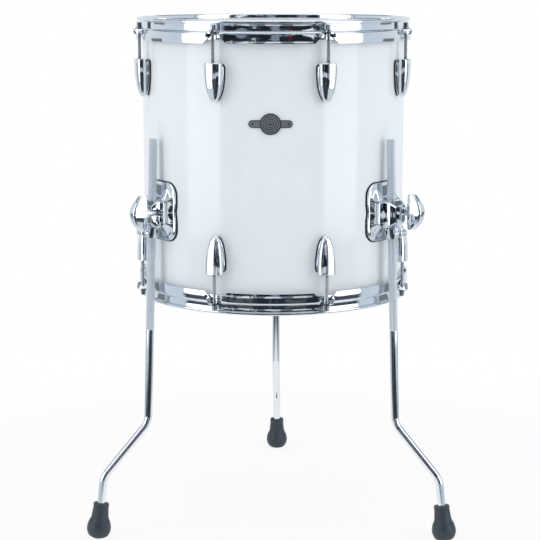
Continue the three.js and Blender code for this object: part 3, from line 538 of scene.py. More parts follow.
def pin(radius, low, high, segments=24, bevel=0.0):
    return raised(circle(radius, segments), low, high, bevel)


def moved(form, matrix):
    points, faces = form
    return [matrix @ Vector(point) for point in points], faces


def joined(*forms):
    points, faces = [], []
    for form_points, form_faces in forms:
        start = len(points)
        points += form_points
        faces += [tuple(start + index for index in face) for face in form_faces]
    return points, faces


# An outline drawn as [sideways, up] stands on the shell: its Z becomes the local X
OUTWARD = Matrix(((0, 0, 1, 0), (1, 0, 0, 0), (0, 1, 0, 0), (0, 0, 0, 1)))


def outward(form, y=0.0, z=0.0):
    return moved(form, Matrix.Translation((0, y, z)) @ OUTWARD)


def bent(point):
    """Where a point comes to lie when what was flat follows the shell."""
    angle = point.y / SHELL_RADIUS
    return Vector((point.x * cos(angle), point.x * sin(angle), point.z))


def wrapped(form):
    points, faces = form
    return [bent(point) for point in points], faces


def droop(across):
    """How far the shell's face falls back at a distance to one side."""
    return SHELL_RADIUS - sqrt(SHELL_RADIUS**2 - across**2)


def laid_on_shell(form):
    points, faces = form
    return [Vector((x - droop(y), y, z)) for x, y, z in points], faces


def tube(spots, radius, sides, across=Vector((0, 1, 0))):
    """A round bar along points in one plane, whose normal is across."""
    rings = []
    for index, spot in enumerate(spots):
        before = spots[max(index - 1, 0)]
        after = spots[min(index + 1, len(spots) - 1)]
        along = (after - before).normalized()
        side = across.cross(along).normalized()
        other = along.cross(side)
        rings.append([spot + side * point.x + other * point.y for point in circle(radius, sides)])
    return loft(rings)


def mesh_of(name, form, sharp=32.0):
    points, faces = form
    mesh = bpy.data.meshes.new(name)
    mesh.from_pydata([Vector(point) * MM for point in points], [], faces)
    work = bmesh.new()
    work.from_mesh(mesh)
    bmesh.ops.remove_doubles(work, verts=work.verts, dist=1e-6)
    bmesh.ops.dissolve_degenerate(work, edges=work.edges, dist=1e-7)
    bmesh.ops.recalc_face_normals(work, faces=work.faces)
    work.to_mesh(mesh)
    work.free()
    return finished(mesh, sharp)


def finished(mesh, sharp):
    mesh.shade_smooth()
    mesh.set_sharp_from_angle(angle=radians(sharp))
    return mesh


def linked(name, data):
    made = bpy.data.objects.new(name, data)
    bpy.context.scene.collection.objects.link(made)
    return made


def carved(name, form, cuts=(), adds=(), sharp=32.0):
    """The form with other forms cut from it and added to it, as one mesh."""
    made = linked(name, mesh_of(name, form))
    helpers = []
    for operation, parts in (("DIFFERENCE", cuts), ("UNION", adds)):
        for part in parts:
            helper = linked(name + "_helper", mesh_of(name + "_helper", part))
            helpers.append(helper)
            modifier = made.modifiers.new(operation, "BOOLEAN")
            modifier.operation = operation
            modifier.object = helper
            modifier.solver = "EXACT"
    bpy.context.view_layer.update()
    graph = bpy.context.evaluated_depsgraph_get()
    mesh = bpy.data.meshes.new_from_object(made.evaluated_get(graph))
    for helper in [*helpers, made]:
        bpy.data.objects.remove(helper)
    mesh.name = name
    return finished(mesh, sharp)


def two_looks(mesh, first, second, is_second):
    """Gives the second look to each face whose middle, in millimetres, passes the test."""
    for name in (first, second):
        mesh.materials.append(LOOKS[name])
    for face in mesh.polygons:
        face.material_index = int(is_second(face.center / MM))


# Places
def facing(azimuth):
    """The direction away from the drum's axis."""
    return Vector((sin(radians(azimuth)), -cos(radians(azimuth)), 0))


def station(azimuth, radius=0.0, height=0.0, lean=0.0):
    """The matrix from a local frame to the row frame, in metres."""
    away = facing(azimuth)
    rotation = Matrix((away, UP.cross(away), UP)).transposed().to_4x4()
    spot = AXIS + (away * radius + UP * height) * MM
    return Matrix.Translation(spot) @ rotation @ Matrix.Rotation(-radians(lean), 4, "Y")


def shift(x, y, z):
    return Matrix.Translation(Vector((x, y, z)) * MM)


def piece(name, mesh, body, slot, matrix, replaced=(), look=None):
    """A visible piece. Its look is its slot's unless another is named or its mesh has its own."""
    made = linked(name, mesh)
    if not mesh.materials:
        mesh.materials.append(LOOKS[look or slot])
    made.matrix_world = matrix
    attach(made, body)
    if replaced:
        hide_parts(*replaced)


def each_end():
    """Each end's head and the place of its rim: the lower one is turned over."""
    yield "batter", station(0, 0, RIM_TOP)
    yield "resonant", station(0, 0, RIM_BOTTOM) @ Matrix.Rotation(pi, 4, "X")


def each_lug(radius=0.0):
    """Each lug's end and number, and its place level with the rim of its hoop."""
    for end, height, over in (("upper", RIM_TOP, 0), ("lower", RIM_BOTTOM, pi)):
        for number in range(1, 9):
            place = station(45 * (number - 0.5), radius, height) @ Matrix.Rotation(over, 4, "X")
            yield end, number, place


# Shell
def add_shell():
    half = (SHELL_TOP - SHELL_BOTTOM) / 2
    inner = SHELL_RADIUS - SHELL_WALL
    land = SHELL_RADIUS - EDGE_ROUND
    peak = land - EDGE_LAND
    edge = arc(land, half - EDGE_ROUND, EDGE_ROUND, 0, 90, 4) + [(peak, half), (inner, half - (peak - inner))]
    profile = [(radius, -height) for radius, height in reversed(edge)] + edge
    mesh = mesh_of("shell_skin", turned(profile, ROUND_SEGMENTS), 50)
    two_looks(mesh, "white_lacquer", "maple", lambda spot: spot.xy.length < SHELL_RADIUS - EDGE_ROUND * 0.6)
    middle = (SHELL_TOP + SHELL_BOTTOM) / 2
    piece("shell_skin", mesh, "root", "white_lacquer", station(0, 0, middle), ["shell"])


# Hoops
def hoop_profile():
    wall = WALL_RADIUS + SHEET
    skirt = SKIRT_RADIUS + SHEET
    bead = WALL_RADIUS + BEAD_WIDTH
    step = -WALL_HEIGHT
    return filleted([
        (SKIRT_RADIUS, -HOOP_HEIGHT, 0.8),
        (skirt, -HOOP_HEIGHT, 0.8),
        (skirt, step + SHEET, BEND_ROUND),
        (wall, step + SHEET, 1.0),
        (wall, -BEAD_HEIGHT, 0.6),
        (bead, -BEAD_HEIGHT, 1.6),
        (bead, 0, 2.4),
        (WALL_RADIUS, 0, 2.4),
        (WALL_RADIUS, step, 3.2),
        (SKIRT_RADIUS, step, 1.0),
    ], 5)


def ear_widths():
    """Half widths of the ear's channel: at the top and the foot outside, then the same inside."""
    flare = (EAR_FOOT_WIDTH - EAR_TOP_WIDTH) / 2
    tall = EAR_FOOT - EAR_TOP
    wall = SHEET * sqrt(1 + (flare / tall) ** 2)
    inner_foot = EAR_FOOT_WIDTH / 2 - wall
    return EAR_TOP_WIDTH / 2, EAR_FOOT_WIDTH / 2, inner_foot - flare * (tall - SHEET) / tall, inner_foot


def ear_form():
    top, foot, inner_top, inner_foot = ear_widths()
    section = filleted([
        (-foot, -EAR_FOOT, 0),
        (-inner_foot, -EAR_FOOT, 0),
        (-inner_top, -EAR_TOP - SHEET, 1.4),
        (inner_top, -EAR_TOP - SHEET, 1.4),
        (inner_foot, -EAR_FOOT, 0),
        (foot, -EAR_FOOT, 0),
        (top, -EAR_TOP, 2.8),
        (-top, -EAR_TOP, 2.8),
    ])
    return outward(raised(section, SKIRT_RADIUS + SHEET / 2, EAR_ROUND_CENTRE + EAR_ROUND))


def ear_trim():
    """What lies outside the ear's round end."""
    corner = EAR_ROUND + OVERRUN
    reach = EAR_ROUND_CENTRE + corner
    corners = ((EAR_ROUND_CENTRE, -corner), (reach, -corner), (reach, corner), (EAR_ROUND_CENTRE, corner))
    outline = [*corners, *arc(EAR_ROUND_CENTRE, 0, EAR_ROUND, 90, -180, 24)]
    return flat_prism(outline, -HOOP_HEIGHT - OVERRUN, 0)


def notch_form():
    """What the skirt lacks under an ear."""
    inner_top, inner_foot = ear_widths()[2:]
    half = NOTCH_WIDTH / 2
    left = [(-inner_top, -EAR_TOP - SHEET), (-inner_foot, -EAR_FOOT)]
    left += [(-half, -HOOP_HEIGHT), (-half, -HOOP_HEIGHT - 5)]
    right = [(-side, up) for side, up in reversed(left)]
    return outward(flat_prism(left + right, WALL_RADIUS, ROD_CIRCLE))


def hoop_mesh():
    hole = moved(pin(HOLE_RADIUS, -HOOP_HEIGHT - OVERRUN, 0), Matrix.Translation((ROD_CIRCLE, 0, 0)))
    ear = carved("ear", ear_form(), [hole, ear_trim()])
    ear_shape = [vertex.co / MM for vertex in ear.vertices], [tuple(face.vertices) for face in ear.polygons]
    turns = [Matrix.Rotation(radians(45 * (index + 0.5)), 4, "Z") for index in range(8)]
    cut = joined(*[moved(notch_form(), turn) for turn in turns])
    ears = joined(*[moved(ear_shape, turn) for turn in turns])
    return carved("hoop", turned(hoop_profile(), ROUND_SEGMENTS), [cut], [ears], 40)


def add_hoops():
    mesh = hoop_mesh()
    for head, place in each_end():
        piece(f"{head}_hoop_pressing", mesh, "root", "hoop_chrome", place, [f"{head}_hoop"])


# Heads
def add_heads():
    low = SHELL_TOP - RIM_TOP + COLLAR_GAP
    high = low + FILM_THICKNESS
    inner = SHELL_RADIUS + COLLAR_GAP
    outer = inner + COLLAR_THICKNESS
    flesh_top = -WALL_HEIGHT - COLLAR_GAP
    flesh_low = flesh_top - FLESH_HEIGHT
    skin = [(0, low), (FILM_FLAT, low)]
    skin += arc(inner - COLLAR_ROUND, low - COLLAR_ROUND, COLLAR_ROUND, 90, -90, 5)
    skin += [(inner, flesh_low + 1), (outer, flesh_low + 1)]
    skin += arc(outer - COLLAR_ROUND, high - COLLAR_ROUND, COLLAR_ROUND, 0, 90, 5)
    skin += [(FILM_FLAT, high), (0, high)]
    rounding = (0.4, 0.8, 0.8, 0.4)
    flesh_form = ring(outer - 0.2, outer + FLESH_WIDTH, flesh_low, flesh_top, rounding, ROUND_SEGMENTS, 3)
    flesh = mesh_of("flesh_hoop", flesh_form)
    looks = {"batter": "coated_film", "resonant": "clear_film"}
    for head, place in each_end():
        name = f"{head}_head"
        film = mesh_of(f"{name}_film", turned(skin, ROUND_SEGMENTS, False))
        piece(f"{name}_film", film, "root", "drum_film", place, [name], looks[head])
        piece(f"{name}_flesh_hoop", flesh, "root", "drum_film", place, [name], "polished_steel")


# Tension rods
def rod_form():
    """The threaded rod, a washer, a collet under the head and the square head itself."""
    seat = -EAR_TOP + 0.3
    washer_top = seat + WASHER_HEIGHT
    collet_top = washer_top + COLLET_HEIGHT
    key_top = collet_top + KEY_HEIGHT
    end = -LUG_MOUTH - ROD_ENGAGEMENT
    core = ROD_RADIUS - THREAD_DEPTH
    shaft = [(0, end), (core * 0.8, end), (core, end + THREAD_TIP)]
    shaft += thread(ROD_RADIUS, THREAD_DEPTH, end + THREAD_TIP, -THREAD_START, THREAD_PITCH)
    shaft += [(ROD_RADIUS, washer_top), (0, washer_top)]
    washer = ring(ROD_RADIUS, WASHER_RADIUS, seat, washer_top, (0, 0.3, 0.3, 0), 32)
    collet = [(0, washer_top), (COLLET_RADIUS - 0.3, washer_top), (COLLET_RADIUS, washer_top + 0.3)]
    collet += [(COLLET_RADIUS, collet_top - 0.5), (COLLET_RADIUS - 0.7, collet_top), (0, collet_top)]
    half = KEY_SIDE / 2
    key = []
    for height, size in ((collet_top - 0.1, half), (key_top - 1, half), (key_top, half - KEY_TAPER)):
        key.append(level(rounded_rectangle(-size, size, -size, size, 0.7, 3), height))
    return joined(turned(shaft, 20, False), washer, turned(collet, 32, False), loft(key))


def add_rods():
    mesh = mesh_of("tension_rod", rod_form(), 40)
    for end, number, place in each_lug(ROD_CIRCLE):
        name = f"{end}_tension_rod_{number}"
        piece(f"{name}_steel", mesh, name, "rod_steel", place, [name])


# Lugs
def bullet_share(share):
    """Half width of the lug at a share of its length from the mouth, as a share of the full half width."""
    return sqrt(max(0.0, 1 - share**LUG_TAPER))


def lug_outline(width, length, mouth, count=14):
    """A bullet outline as [sideways, up], its mouth's end rounded at the corners."""
    start = mouth - LUG_CORNER
    right = arc(width / 2 - LUG_CORNER, start, LUG_CORNER, 90, -90, 6)
    for index in range(1, count):
        share = sin(pi / 2 * index / count)
        right.append(Vector((width / 2 * bullet_share(share), start - (length - LUG_CORNER) * share)))
    left = [Vector((-point.x, point.y)) for point in reversed(right)]
    return [*reversed(left), Vector((0, mouth - length)), *reversed(right)]


def lug_form():
    """The bullet: an oval at the mouth that narrows to its tip and stays upright on the shell's side."""
    rings = []
    for index in range(LUG_RINGS):
        share = sin(pi / 2 * index / (LUG_RINGS - 1)) * 0.995
        size = bullet_share(share)
        outer = LUG_TIP_OUTER + (LUG_OUTER - LUG_TIP_OUTER) * size
        middle = (outer + LUG_INNER) / 2
        section = superellipse((outer - LUG_INNER) / 2, LUG_WIDTH / 2 * max(size, 0.02), LUG_SQUARENESS, 48)
        rings.append([Vector((middle + point.x, point.y, -LUG_LENGTH * share)) for point in section])
    mouth = rings[0]
    centre = sum(mouth, Vector()) / len(mouth)
    rings[0] = [point - UP * 0.7 for point in mouth]
    rings.insert(0, [centre + (point - centre) * 0.93 for point in mouth])
    return loft(rings)


def lug_mesh():
    low = SHELL_RADIUS + LUG_GASKET
    flange_outline = lug_outline(FLANGE_WIDTH, FLANGE_LENGTH, -FLANGE_DROP)
    flange = wrapped(outward(raised(flange_outline, low, low + FLANGE_THICKNESS, 0.8)))
    neck_outline = lug_outline(NECK_WIDTH, NECK_LENGTH, -(LUG_LENGTH - NECK_LENGTH) / 3)
    neck = outward(raised(neck_outline, low + 1, LUG_INNER + 2))
    socket = pin(SOCKET_RADIUS, -SOCKET_DEPTH, OVERRUN, 32)
    bore = pin(ROD_RADIUS + 0.5, -LUG_LENGTH * 0.4, OVERRUN)
    cuts = [moved(cut, Matrix.Translation((ROD_CIRCLE, 0, 0))) for cut in (socket, bore)]
    return carved("lug", lug_form(), cuts, [neck, flange], 30)


def lug_gasket_form():
    overhang = GASKET_OVERHANG * 2
    mouth = GASKET_OVERHANG - FLANGE_DROP
    outline = lug_outline(FLANGE_WIDTH + overhang, FLANGE_LENGTH + overhang, mouth)
    return wrapped(outward(raised(outline, SHELL_RADIUS + 0.05, SHELL_RADIUS + LUG_GASKET + 0.1, 0.5)))


def add_lugs():
    casting = lug_mesh()
    gasket = mesh_of("lug_gasket", lug_gasket_form())
    nut_form = ring(ROD_RADIUS + 0.1, SOCKET_RADIUS - 0.3, -SOCKET_DEPTH, -1.2, (0, 0, 0.6, 0.4), 32)
    nut = mesh_of("swivel_nut", nut_form)
    for end, number, rim in each_lug():
        name = f"{end}_lug_{number}"
        place = rim @ shift(0, 0, -LUG_MOUTH)
        piece(f"{name}_casting", casting, "root", "casting_chrome", place, [name])
        piece(f"{name}_gasket", gasket, "root", "foot_rubber", place, look="gasket_rubber")
        piece(f"{name}_nut", nut, "root", "rod_steel", place @ shift(ROD_CIRCLE, 0, 0))


# Legs
def leg_axis_radius(height):
    return LEG_CIRCLE + (BRACKET_HEIGHT - height) * tan(radians(LEG_LEAN))


def leg_corners():
    upper = leg_axis_radius(UPPER_BEND)
    lower = upper + (UPPER_BEND - LOWER_BEND) * tan(radians(MIDDLE_ANGLE))
    end = lower + (LOWER_BEND - LEG_END) * tan(radians(FOOT_ANGLE))
    return [
        Vector((leg_axis_radius(LEG_TOP), 0, LEG_TOP)),
        Vector((upper, 0, UPPER_BEND)),
        Vector((lower, 0, LOWER_BEND)),
        Vector((end, 0, LEG_END)),
    ]


def bend(before, corner, after, steps=12):
    """The arc of a bar's axis round a corner."""
    back = (before - corner).normalized()
    ahead = (after - corner).normalized()
    half = back.angle(ahead) / 2
    centre = corner + (back + ahead).normalized() * (BEND_RADIUS / sin(half))
    start, end = [corner + way * (BEND_RADIUS / tan(half)) - centre for way in (back, ahead)]
    axis, angle = start.rotation_difference(end).to_axis_angle()
    return [centre + Matrix.Rotation(angle * step / steps, 3, axis) @ start for step in range(steps + 1)]


def turned_with_leg(point, turn):
    """What lies off the straight axis is turned with the leg in its clamp."""
    axis = leg_axis_radius(point.z)
    off = point.x - axis
    return Vector((axis + off * cos(radians(turn)), off * sin(radians(turn)), point.z))


def bar_turn(spot):
    """Turns round the straight part of a leg, for a place in metres."""
    x, y, z = spot / MM
    return atan2(y, x - leg_axis_radius(z)) / (2 * pi)


def with_uv(mesh):
    """Turns round the bar as U and millimetres along it as V, for the straight part of a leg."""
    layer = mesh.uv_layers.new(name="bar")
    for face in mesh.polygons:
        middle = bar_turn(face.center)
        for index in face.loop_indices:
            point = mesh.vertices[mesh.loops[index].vertex_index].co
            turn = bar_turn(point)
            layer.data[index].uv = turn - round(turn - middle), point.z / MM
    return mesh


def knurl_foot():
    """Where the knurling ends, on the leg's axis."""
    top, upper = leg_corners()[:2]
    return top.lerp(upper, (top.z - KNURL_END) / (top.z - upper.z))


def knurled_mesh():
    top = leg_corners()[0]
    low = knurl_foot()
    down = (low - top).normalized()
    spots = [top, top + down * LEG_TOP_BEVEL, *[top.lerp(low, share / 8) for share in range(1, 9)]]
    points, faces = tube(spots, LEG_RADIUS, LEG_SIDES)
    for index in range(LEG_SIDES):
        points[index] = top + (points[index] - top) * 0.88
    return with_uv(mesh_of("leg_knurled", (points, faces)))


def polished_mesh(turn):
    top, upper, lower, end = leg_corners()
    path = [knurl_foot(), *bend(top, upper, lower), *bend(upper, lower, end), end]
    spots = [turned_with_leg(spot, turn) for spot in path]
    across = Matrix.Rotation(radians(turn), 3, "Z") @ Vector((0, 1, 0))
    return mesh_of("leg_polished", tube(spots, LEG_RADIUS - KNURL_DEPTH, LEG_SIDES, across))


def smooth_profile(points, steps=4):
    """A smooth curve through the points."""
    spots = [Vector(point) for point in points]
    spots = [spots[0] * 2 - spots[1], *spots, spots[-1] * 2 - spots[-2]]
    curve = []
    for a, b, c, d in zip(spots, spots[1:], spots[2:], spots[3:]):
        for step in range(steps):
            t = step / steps
            first = b * 2 + (c - a) * t
            second = (a * 2 - b * 5 + c * 4 - d) * t**2
            third = (b * 3 - a - c * 3 + d) * t**3
            curve.append((first + second + third) / 2)
    return [*curve, spots[-2]]


def foot_mesh(turn):
    """A foot on the leg's end, cut off flat where it stands on the floor."""
    top = FOOT_LENGTH
    throat = LEG_RADIUS + 0.2
    lip = [(FOOT_MOUTH + 0.5, top - 3.4), (FOOT_MOUTH + 0.7, top - 1.8), (FOOT_MOUTH, top - 0.4)]
    lip += [(FOOT_MOUTH - 1, top), (LEG_RADIUS + 0.8, top), (throat, top - 0.8)]
    profile = [(0, 0), *smooth_profile(FOOT_PROFILE), *lip, (throat, top - 6), (0, top - 6)]
    lower, end = [turned_with_leg(corner, turn) for corner in leg_corners()[2:]]
    axis = (lower - end).normalized()
    sole = end + axis * (-end.z / axis.z)
    lean = UP.rotation_difference(axis).to_matrix().to_4x4()
    on_floor = Matrix.Translation((sole.x, sole.y, 0))
    lift = Matrix.Translation((0, 0, -FOOT_TREAD * axis.xy.length))
    outside = moved(turned(profile, 48, False), on_floor @ lean @ lift)
    floor = moved(box_form((-top, -top, -top), (top, top, 0)), on_floor)
    return carved("foot", outside, [floor], sharp=40)


def add_legs():
    knurled = knurled_mesh()
    for side, azimuth in LEG_AZIMUTHS.items():
        name = f"{side}_leg"
        place = station(azimuth)
        turn = LEG_TURNS[side]
        piece(f"{name}_knurled", knurled, name, "leg_steel", place, [name], "knurled_steel")
        piece(f"{name}_polished", polished_mesh(turn), name, "leg_steel", place, [name], "polished_steel")
        piece(f"{side}_foot_rubber", foot_mesh(turn), name, "foot_rubber", place, [f"{side}_foot"])


# Brackets
LEANING = Matrix.Rotation(-radians(LEG_LEAN), 4, "Y")


def leg_space(radius):
    return moved(pin(radius, -CLAMP_REACH, CLAMP_REACH, 32), LEANING)


def plate_outline(grow=0.0):
    """The base's outline, with a shallow waist beside the boss on each long side."""
    half, tall = BASE_WIDTH / 2 + grow, BASE_HEIGHT / 2 + grow
    corners = rounded_rectangle(-half, half, -tall, tall, BASE_CORNER + grow, 10)
    outline = []
    for point, after in zip(corners, corners[1:] + corners[:1]):
        steps = int((after - point).length / 2)
        outline += [point, *[point.lerp(after, step / steps) for step in range(1, steps)]]
    for point in outline:
        if abs(point.x) > half - 0.01:
            waist = WAIST_DEPTH * max(0.0, 1 - (point.y / WAIST_LENGTH) ** 2) ** 2
            point.x -= waist * (1 if point.x > 0 else -1)
    return outline


def soft_top(first, second, reach=1.2):
    """The higher of two heights, with a fillet where they meet."""
    share = max(reach - abs(first - second), 0.0) / reach
    return max(first, second) + share**3 * reach / 6


def base_height(across, up):
    """How far the base's face lies in front of its plate, at a place on the plate."""
    across, up = abs(across), abs(up)
    full = BOSS_FRONT - PLATE_FRONT + droop(across)
    wall = full - (max(across - BOSS_SIDE, 0.0) / BOSS_WALL) ** 3 * full
    boss = min(wall, full + (BOSS_HALF_HEIGHT - up) * BOSS_SLOPE)
    along = (up - BOSS_HALF_HEIGHT) / (RIDGE_TIP_RISE - BOSS_HALF_HEIGHT)
    ridge = 0.0
    if along > 0:
        inner = RIDGE_INNER + (RIDGE_TIP_SIDE - RIDGE_INNER) * along
        outer = BOSS_SIDE + (RIDGE_TIP_SIDE - BOSS_SIDE) * along
        spine = (full - RIDGE_DROP) * (1 - along)
        ridge = spine + RIDGE_SLOPE * min(0.0, across - inner, outer - across)
    dome = BASE_DOME * (1 - (up / BASE_HEIGHT * 2) ** 2)
    return soft_top(soft_top(dome, ridge), boss)


def base_form():
    """The plate's rim, then its face as rings that close in on the middle."""
    rings = []
    for grow, drop in ((0.0, BASE_EDGE), (0.0, 1.2), (-0.3, 0.6), (-0.9, 0.15), (-1.8, 0.0)):
        rings.append(upright(plate_outline(grow), PLATE_FRONT - drop))
    rim = plate_outline(-1.8)
    for step in range(1, BASE_RINGS + 1):
        share = 1 - step / BASE_RINGS
        rise = min(1.0, step / 3)
        spots = [(point.x * share, point.y * share) for point in rim]
        rings.append([Vector((PLATE_FRONT + base_height(*spot) * rise, *spot)) for spot in spots])
    return moved(loft(rings), Matrix.Translation((0, 0, BASE_RISE)))


def base_mesh():
    tall = TAB_HEIGHT / 2 + SLOT_PLAY
    slot_corner = (TAB_FRONT - TAB_THICKNESS - SLOT_PLAY, TAB_SIDE - SLOT_PLAY, -tall)
    slot = box_form(slot_corner, (OVERRUN, TAB_ROOT, tall))
    bolt_bore = outward(pin(BOLT_RADIUS + PLAY, BOLT_TIP - PLAY, OVERRUN), BOLT_OFFSET, BOLT_RISE)
    lock_outline = lock_ring(LOCK_TOP_RADIUS + PLAY, LOCK_BACK + PLAY)
    lock = moved(flat_prism(lock_outline, -CLAMP_REACH, -JAW_HALF_HEIGHT), LEANING)
    cuts = [lock, leg_space(LEG_RADIUS + PLAY), slot, bolt_bore]
    return carved("bracket_base", laid_on_shell(base_form()), cuts, sharp=50)


def jaw_block():
    """Outlines from back to front: inset by the hinge, inset by the bolt, half height, rounding and depth."""
    levels = (
        (0.6, 0.6, JAW_HALF_HEIGHT - 0.6, 2.0, JAW_BACK),
        (0.0, 0.0, JAW_HALF_HEIGHT, 2.4, JAW_BACK + 0.6),
        (0.0, 0.0, JAW_HALF_HEIGHT - 0.8, 2.6, JAW_BACK + 8.2),
        (5.8, 1.4, JAW_FRONT_HALF_HEIGHT + 2.2, 3, JAW_FRONT - 2.4),
        (7.4, 2.4, JAW_FRONT_HALF_HEIGHT + 0.6, 3, JAW_FRONT - 0.6),
        (8.2, 3.3, JAW_FRONT_HALF_HEIGHT - 0.3, 3, JAW_FRONT),
    )
    rings = []
    for hinge, bolt, tall, radius, depth in levels:
        outline = rounded_rectangle(hinge - JAW_HINGE_SIDE, JAW_BOLT_SIDE - bolt, -tall, tall, radius, 5)
        rings.append(upright(outline, depth))
    return loft(rings)


def recess_form():
    """A recess in the jaw's bolt side, drawn as [up, outwards] and sunk along the local Y."""
    outline = rounded_rectangle(*JAW_RECESS, 4.4, 5)
    sides = (JAW_BOLT_SIDE - 4.2, JAW_BOLT_SIDE + OVERRUN)
    return loft([[Vector((depth, side, up)) for up, depth in outline] for side in sides])


def jaw_mesh():
    width = BOLT_RADIUS + 0.6
    slot_corner = (JAW_FRONT + OVERRUN, JAW_BOLT_SIDE + OVERRUN, BOLT_RISE + width)
    slot = box_form((-OVERRUN, BOLT_OFFSET - width, BOLT_RISE - width), slot_corner)
    pocket = outward(raised(rounded_rectangle(*JAW_POCKET, 3, 5), LEG_RADIUS, JAW_FRONT + OVERRUN))
    cuts = [leg_space(LEG_RADIUS + JAW_PLAY), slot, pocket, recess_form()]
    tall = TAB_HEIGHT / 2
    back = TAB_FRONT - TAB_THICKNESS
    root = TAB_ROOT - SLOT_PLAY
    tab = box_form((back, TAB_SIDE, -tall), (TAB_FRONT, root, tall))
    neck = box_form((back, root - TAB_THICKNESS, -tall), (1.6, root, tall))
    return carved("clamp_jaw", jaw_block(), cuts, [tab, neck], sharp=24)


def handle_form():
    """A plate with a straight back, a bowed front and flat ends, as rounded rectangles one over the other."""
    end = HANDLE_LENGTH / 2
    heights = [end * (2 * step / HANDLE_RINGS - 1) for step in range(1, HANDLE_RINGS)]
    rings = []
    for height in (-end, -end + 0.3, *heights, end - 0.3, end):
        bow = 1 - (height / end) ** 2
        depth = HANDLE_END_DEPTH + (HANDLE_DEPTH - HANDLE_END_DEPTH) * bow
        width = HANDLE_END_WIDTH + (HANDLE_WIDTH - HANDLE_END_WIDTH) * bow
        inset = 0.9 if abs(height) == end else 0.0
        back, front, half = HANDLE_BACK + inset, HANDLE_BACK + depth - inset, width / 2 - inset
        corners = ((back, -half, 1.6), (front, -half, 3.6), (front, half, 3.6), (back, half, 1.6))
        rings.append(level(filleted(corners), height))
    return loft(rings)


def stem_form():
    """The bolt's thread, then its hub with two grooves."""
    core = BOLT_RADIUS - BOLT_THREAD_DEPTH
    start = BOLT_TIP + 0.8
    profile = [(0, BOLT_TIP), (core - 0.6, BOLT_TIP), (core, start)]
    profile += thread(BOLT_RADIUS, BOLT_THREAD_DEPTH, start, JAW_BACK - 2, BOLT_PITCH)
    profile.append((BOLT_RADIUS, HUB_BACK))
    for inset, rise in ((0.4, 0), (0, 0.4), (0, 1.2), (0.9, 1.6), (0.9, 2.2), (0.2, 2.6)):
        profile.append((HUB_RADIUS - inset, HUB_BACK + rise))
    for inset, rise in ((0.2, -1.6), (1.0, -1.1), (1.0, -0.5), (0, 0), (0, 2), (HUB_RADIUS, 2)):
        profile.append((HUB_RADIUS - inset, HANDLE_BACK + rise))
    return outward(turned(profile, 32, False))


def lock_ring(radius, flat):
    """The lock's outline from above, flat at the back."""
    return [Vector((max(point.x, -flat), point.y)) for point in circle(radius, 64, pi / 64)]


def lock_mesh():
    tall = LOCK_HEIGHT / 2
    edge = ((0.9, 0.0), (0.25, 0.3), (0.0, 1.0))
    levels = [(LOCK_BOTTOM_RADIUS, inset, rise - tall) for inset, rise in edge]
    levels += [(LOCK_TOP_RADIUS, inset, tall - rise) for inset, rise in reversed(edge)]
    rings = [level(lock_ring(radius - inset, LOCK_BACK - inset), height) for radius, inset, height in levels]
    cuts = [pin(LEG_RADIUS + PLAY, -30, 30, 32), outward(pin(SCREW_RADIUS + PLAY, 0, 30))]
    rounding = (0, 0, 0.8, 0.3)
    boss = ring(SCREW_RADIUS + PLAY, LOCK_BOSS_RADIUS, LEG_RADIUS + 1.5, LOCK_BOSS_FRONT, rounding, 32, 3)
    return carved("memory_lock", loft(rings), cuts, [outward(boss)], sharp=30)


def wing_outline():
    centre = WING_SPAN / 2 - WING_LOBE
    rise = degrees(asin(WING_WAIST / 2 / WING_LOBE))
    sweep = 360 - 2 * rise
    return arc(centre, 0, WING_LOBE, rise - 180, sweep, 16) + arc(-centre, 0, WING_LOBE, rise, sweep, 16)


def screw_form():
    tip = LEG_RADIUS + 0.3
    back = LOCK_BOSS_FRONT + 1
    front = back + WING_THICKNESS
    wings = outward(raised(wing_outline(), back, front, 0.8))
    stem = [(0, tip), (SCREW_RADIUS, tip), (SCREW_RADIUS, back), (SCREW_HUB, back)]
    stem += [(SCREW_HUB, front + 0.6), (SCREW_HUB - 1, front + 1.2), (0, front + 1.2)]
    return joined(wings, outward(turned(stem, 32, False)))


def bracket_gasket_form():
    rim = [(x * BASE_GASKET_STRETCH, up + BASE_RISE) for x, up in plate_outline(GASKET_OVERHANG)]
    depths = (PLATE_BACK - GASKET + 0.05, PLATE_BACK + 0.1)
    return laid_on_shell(loft([upright(rim, depth) for depth in depths]))


def add_brackets():
    gasket = mesh_of("bracket_gasket", bracket_gasket_form())
    base, jaw, lock = base_mesh(), jaw_mesh(), lock_mesh()
    bolt = mesh_of("t_bolt", joined(handle_form(), stem_form()), 40)
    screw = mesh_of("lock_screw", screw_form(), 40)
    for side, azimuth in LEG_AZIMUTHS.items():
        place = station(azimuth, LEG_CIRCLE, BRACKET_HEIGHT)
        leaning = station(azimuth, LEG_CIRCLE, BRACKET_HEIGHT, LEG_LEAN) @ shift(0, 0, -LOCK_DROP)
        for part, mesh, body, where in (
            ("bracket_base", base, "root", place),
            ("clamp_jaw", jaw, f"{side}_clamp_jaw", place),
            ("t_bolt", bolt, f"{side}_t_bolt", place @ shift(0, BOLT_OFFSET, BOLT_RISE)),
            ("memory_lock", lock, f"{side}_memory_lock", leaning),
            ("lock_screw", screw, f"{side}_lock_screw", leaning),
        ):
            name = f"{side}_{part}"
            piece(f"{name}_casting", mesh, body, "casting_chrome", where, [name])
        piece(f"{side}_bracket_gasket", gasket, "root", "foot_rubber", place, look="gasket_rubber")


# Mounting screws behind the lugs and brackets, inside the shell
def screw_head_form():
    """A washer and a rounded hexagon head, with its seat at 0 and its head along Z."""
    seat = WASHER_HEIGHT
    top = seat + MOUNT_HEIGHT
    sizes = ((seat, MOUNT_RADIUS), (top - 0.5, MOUNT_RADIUS), (top, MOUNT_RADIUS - 0.5))
    head = loft([level(circle(radius, 6), height) for height, radius in sizes])
    return joined(ring(2.2, 6, 0, seat, (0, 0.2, 0.3, 0), 32), head)


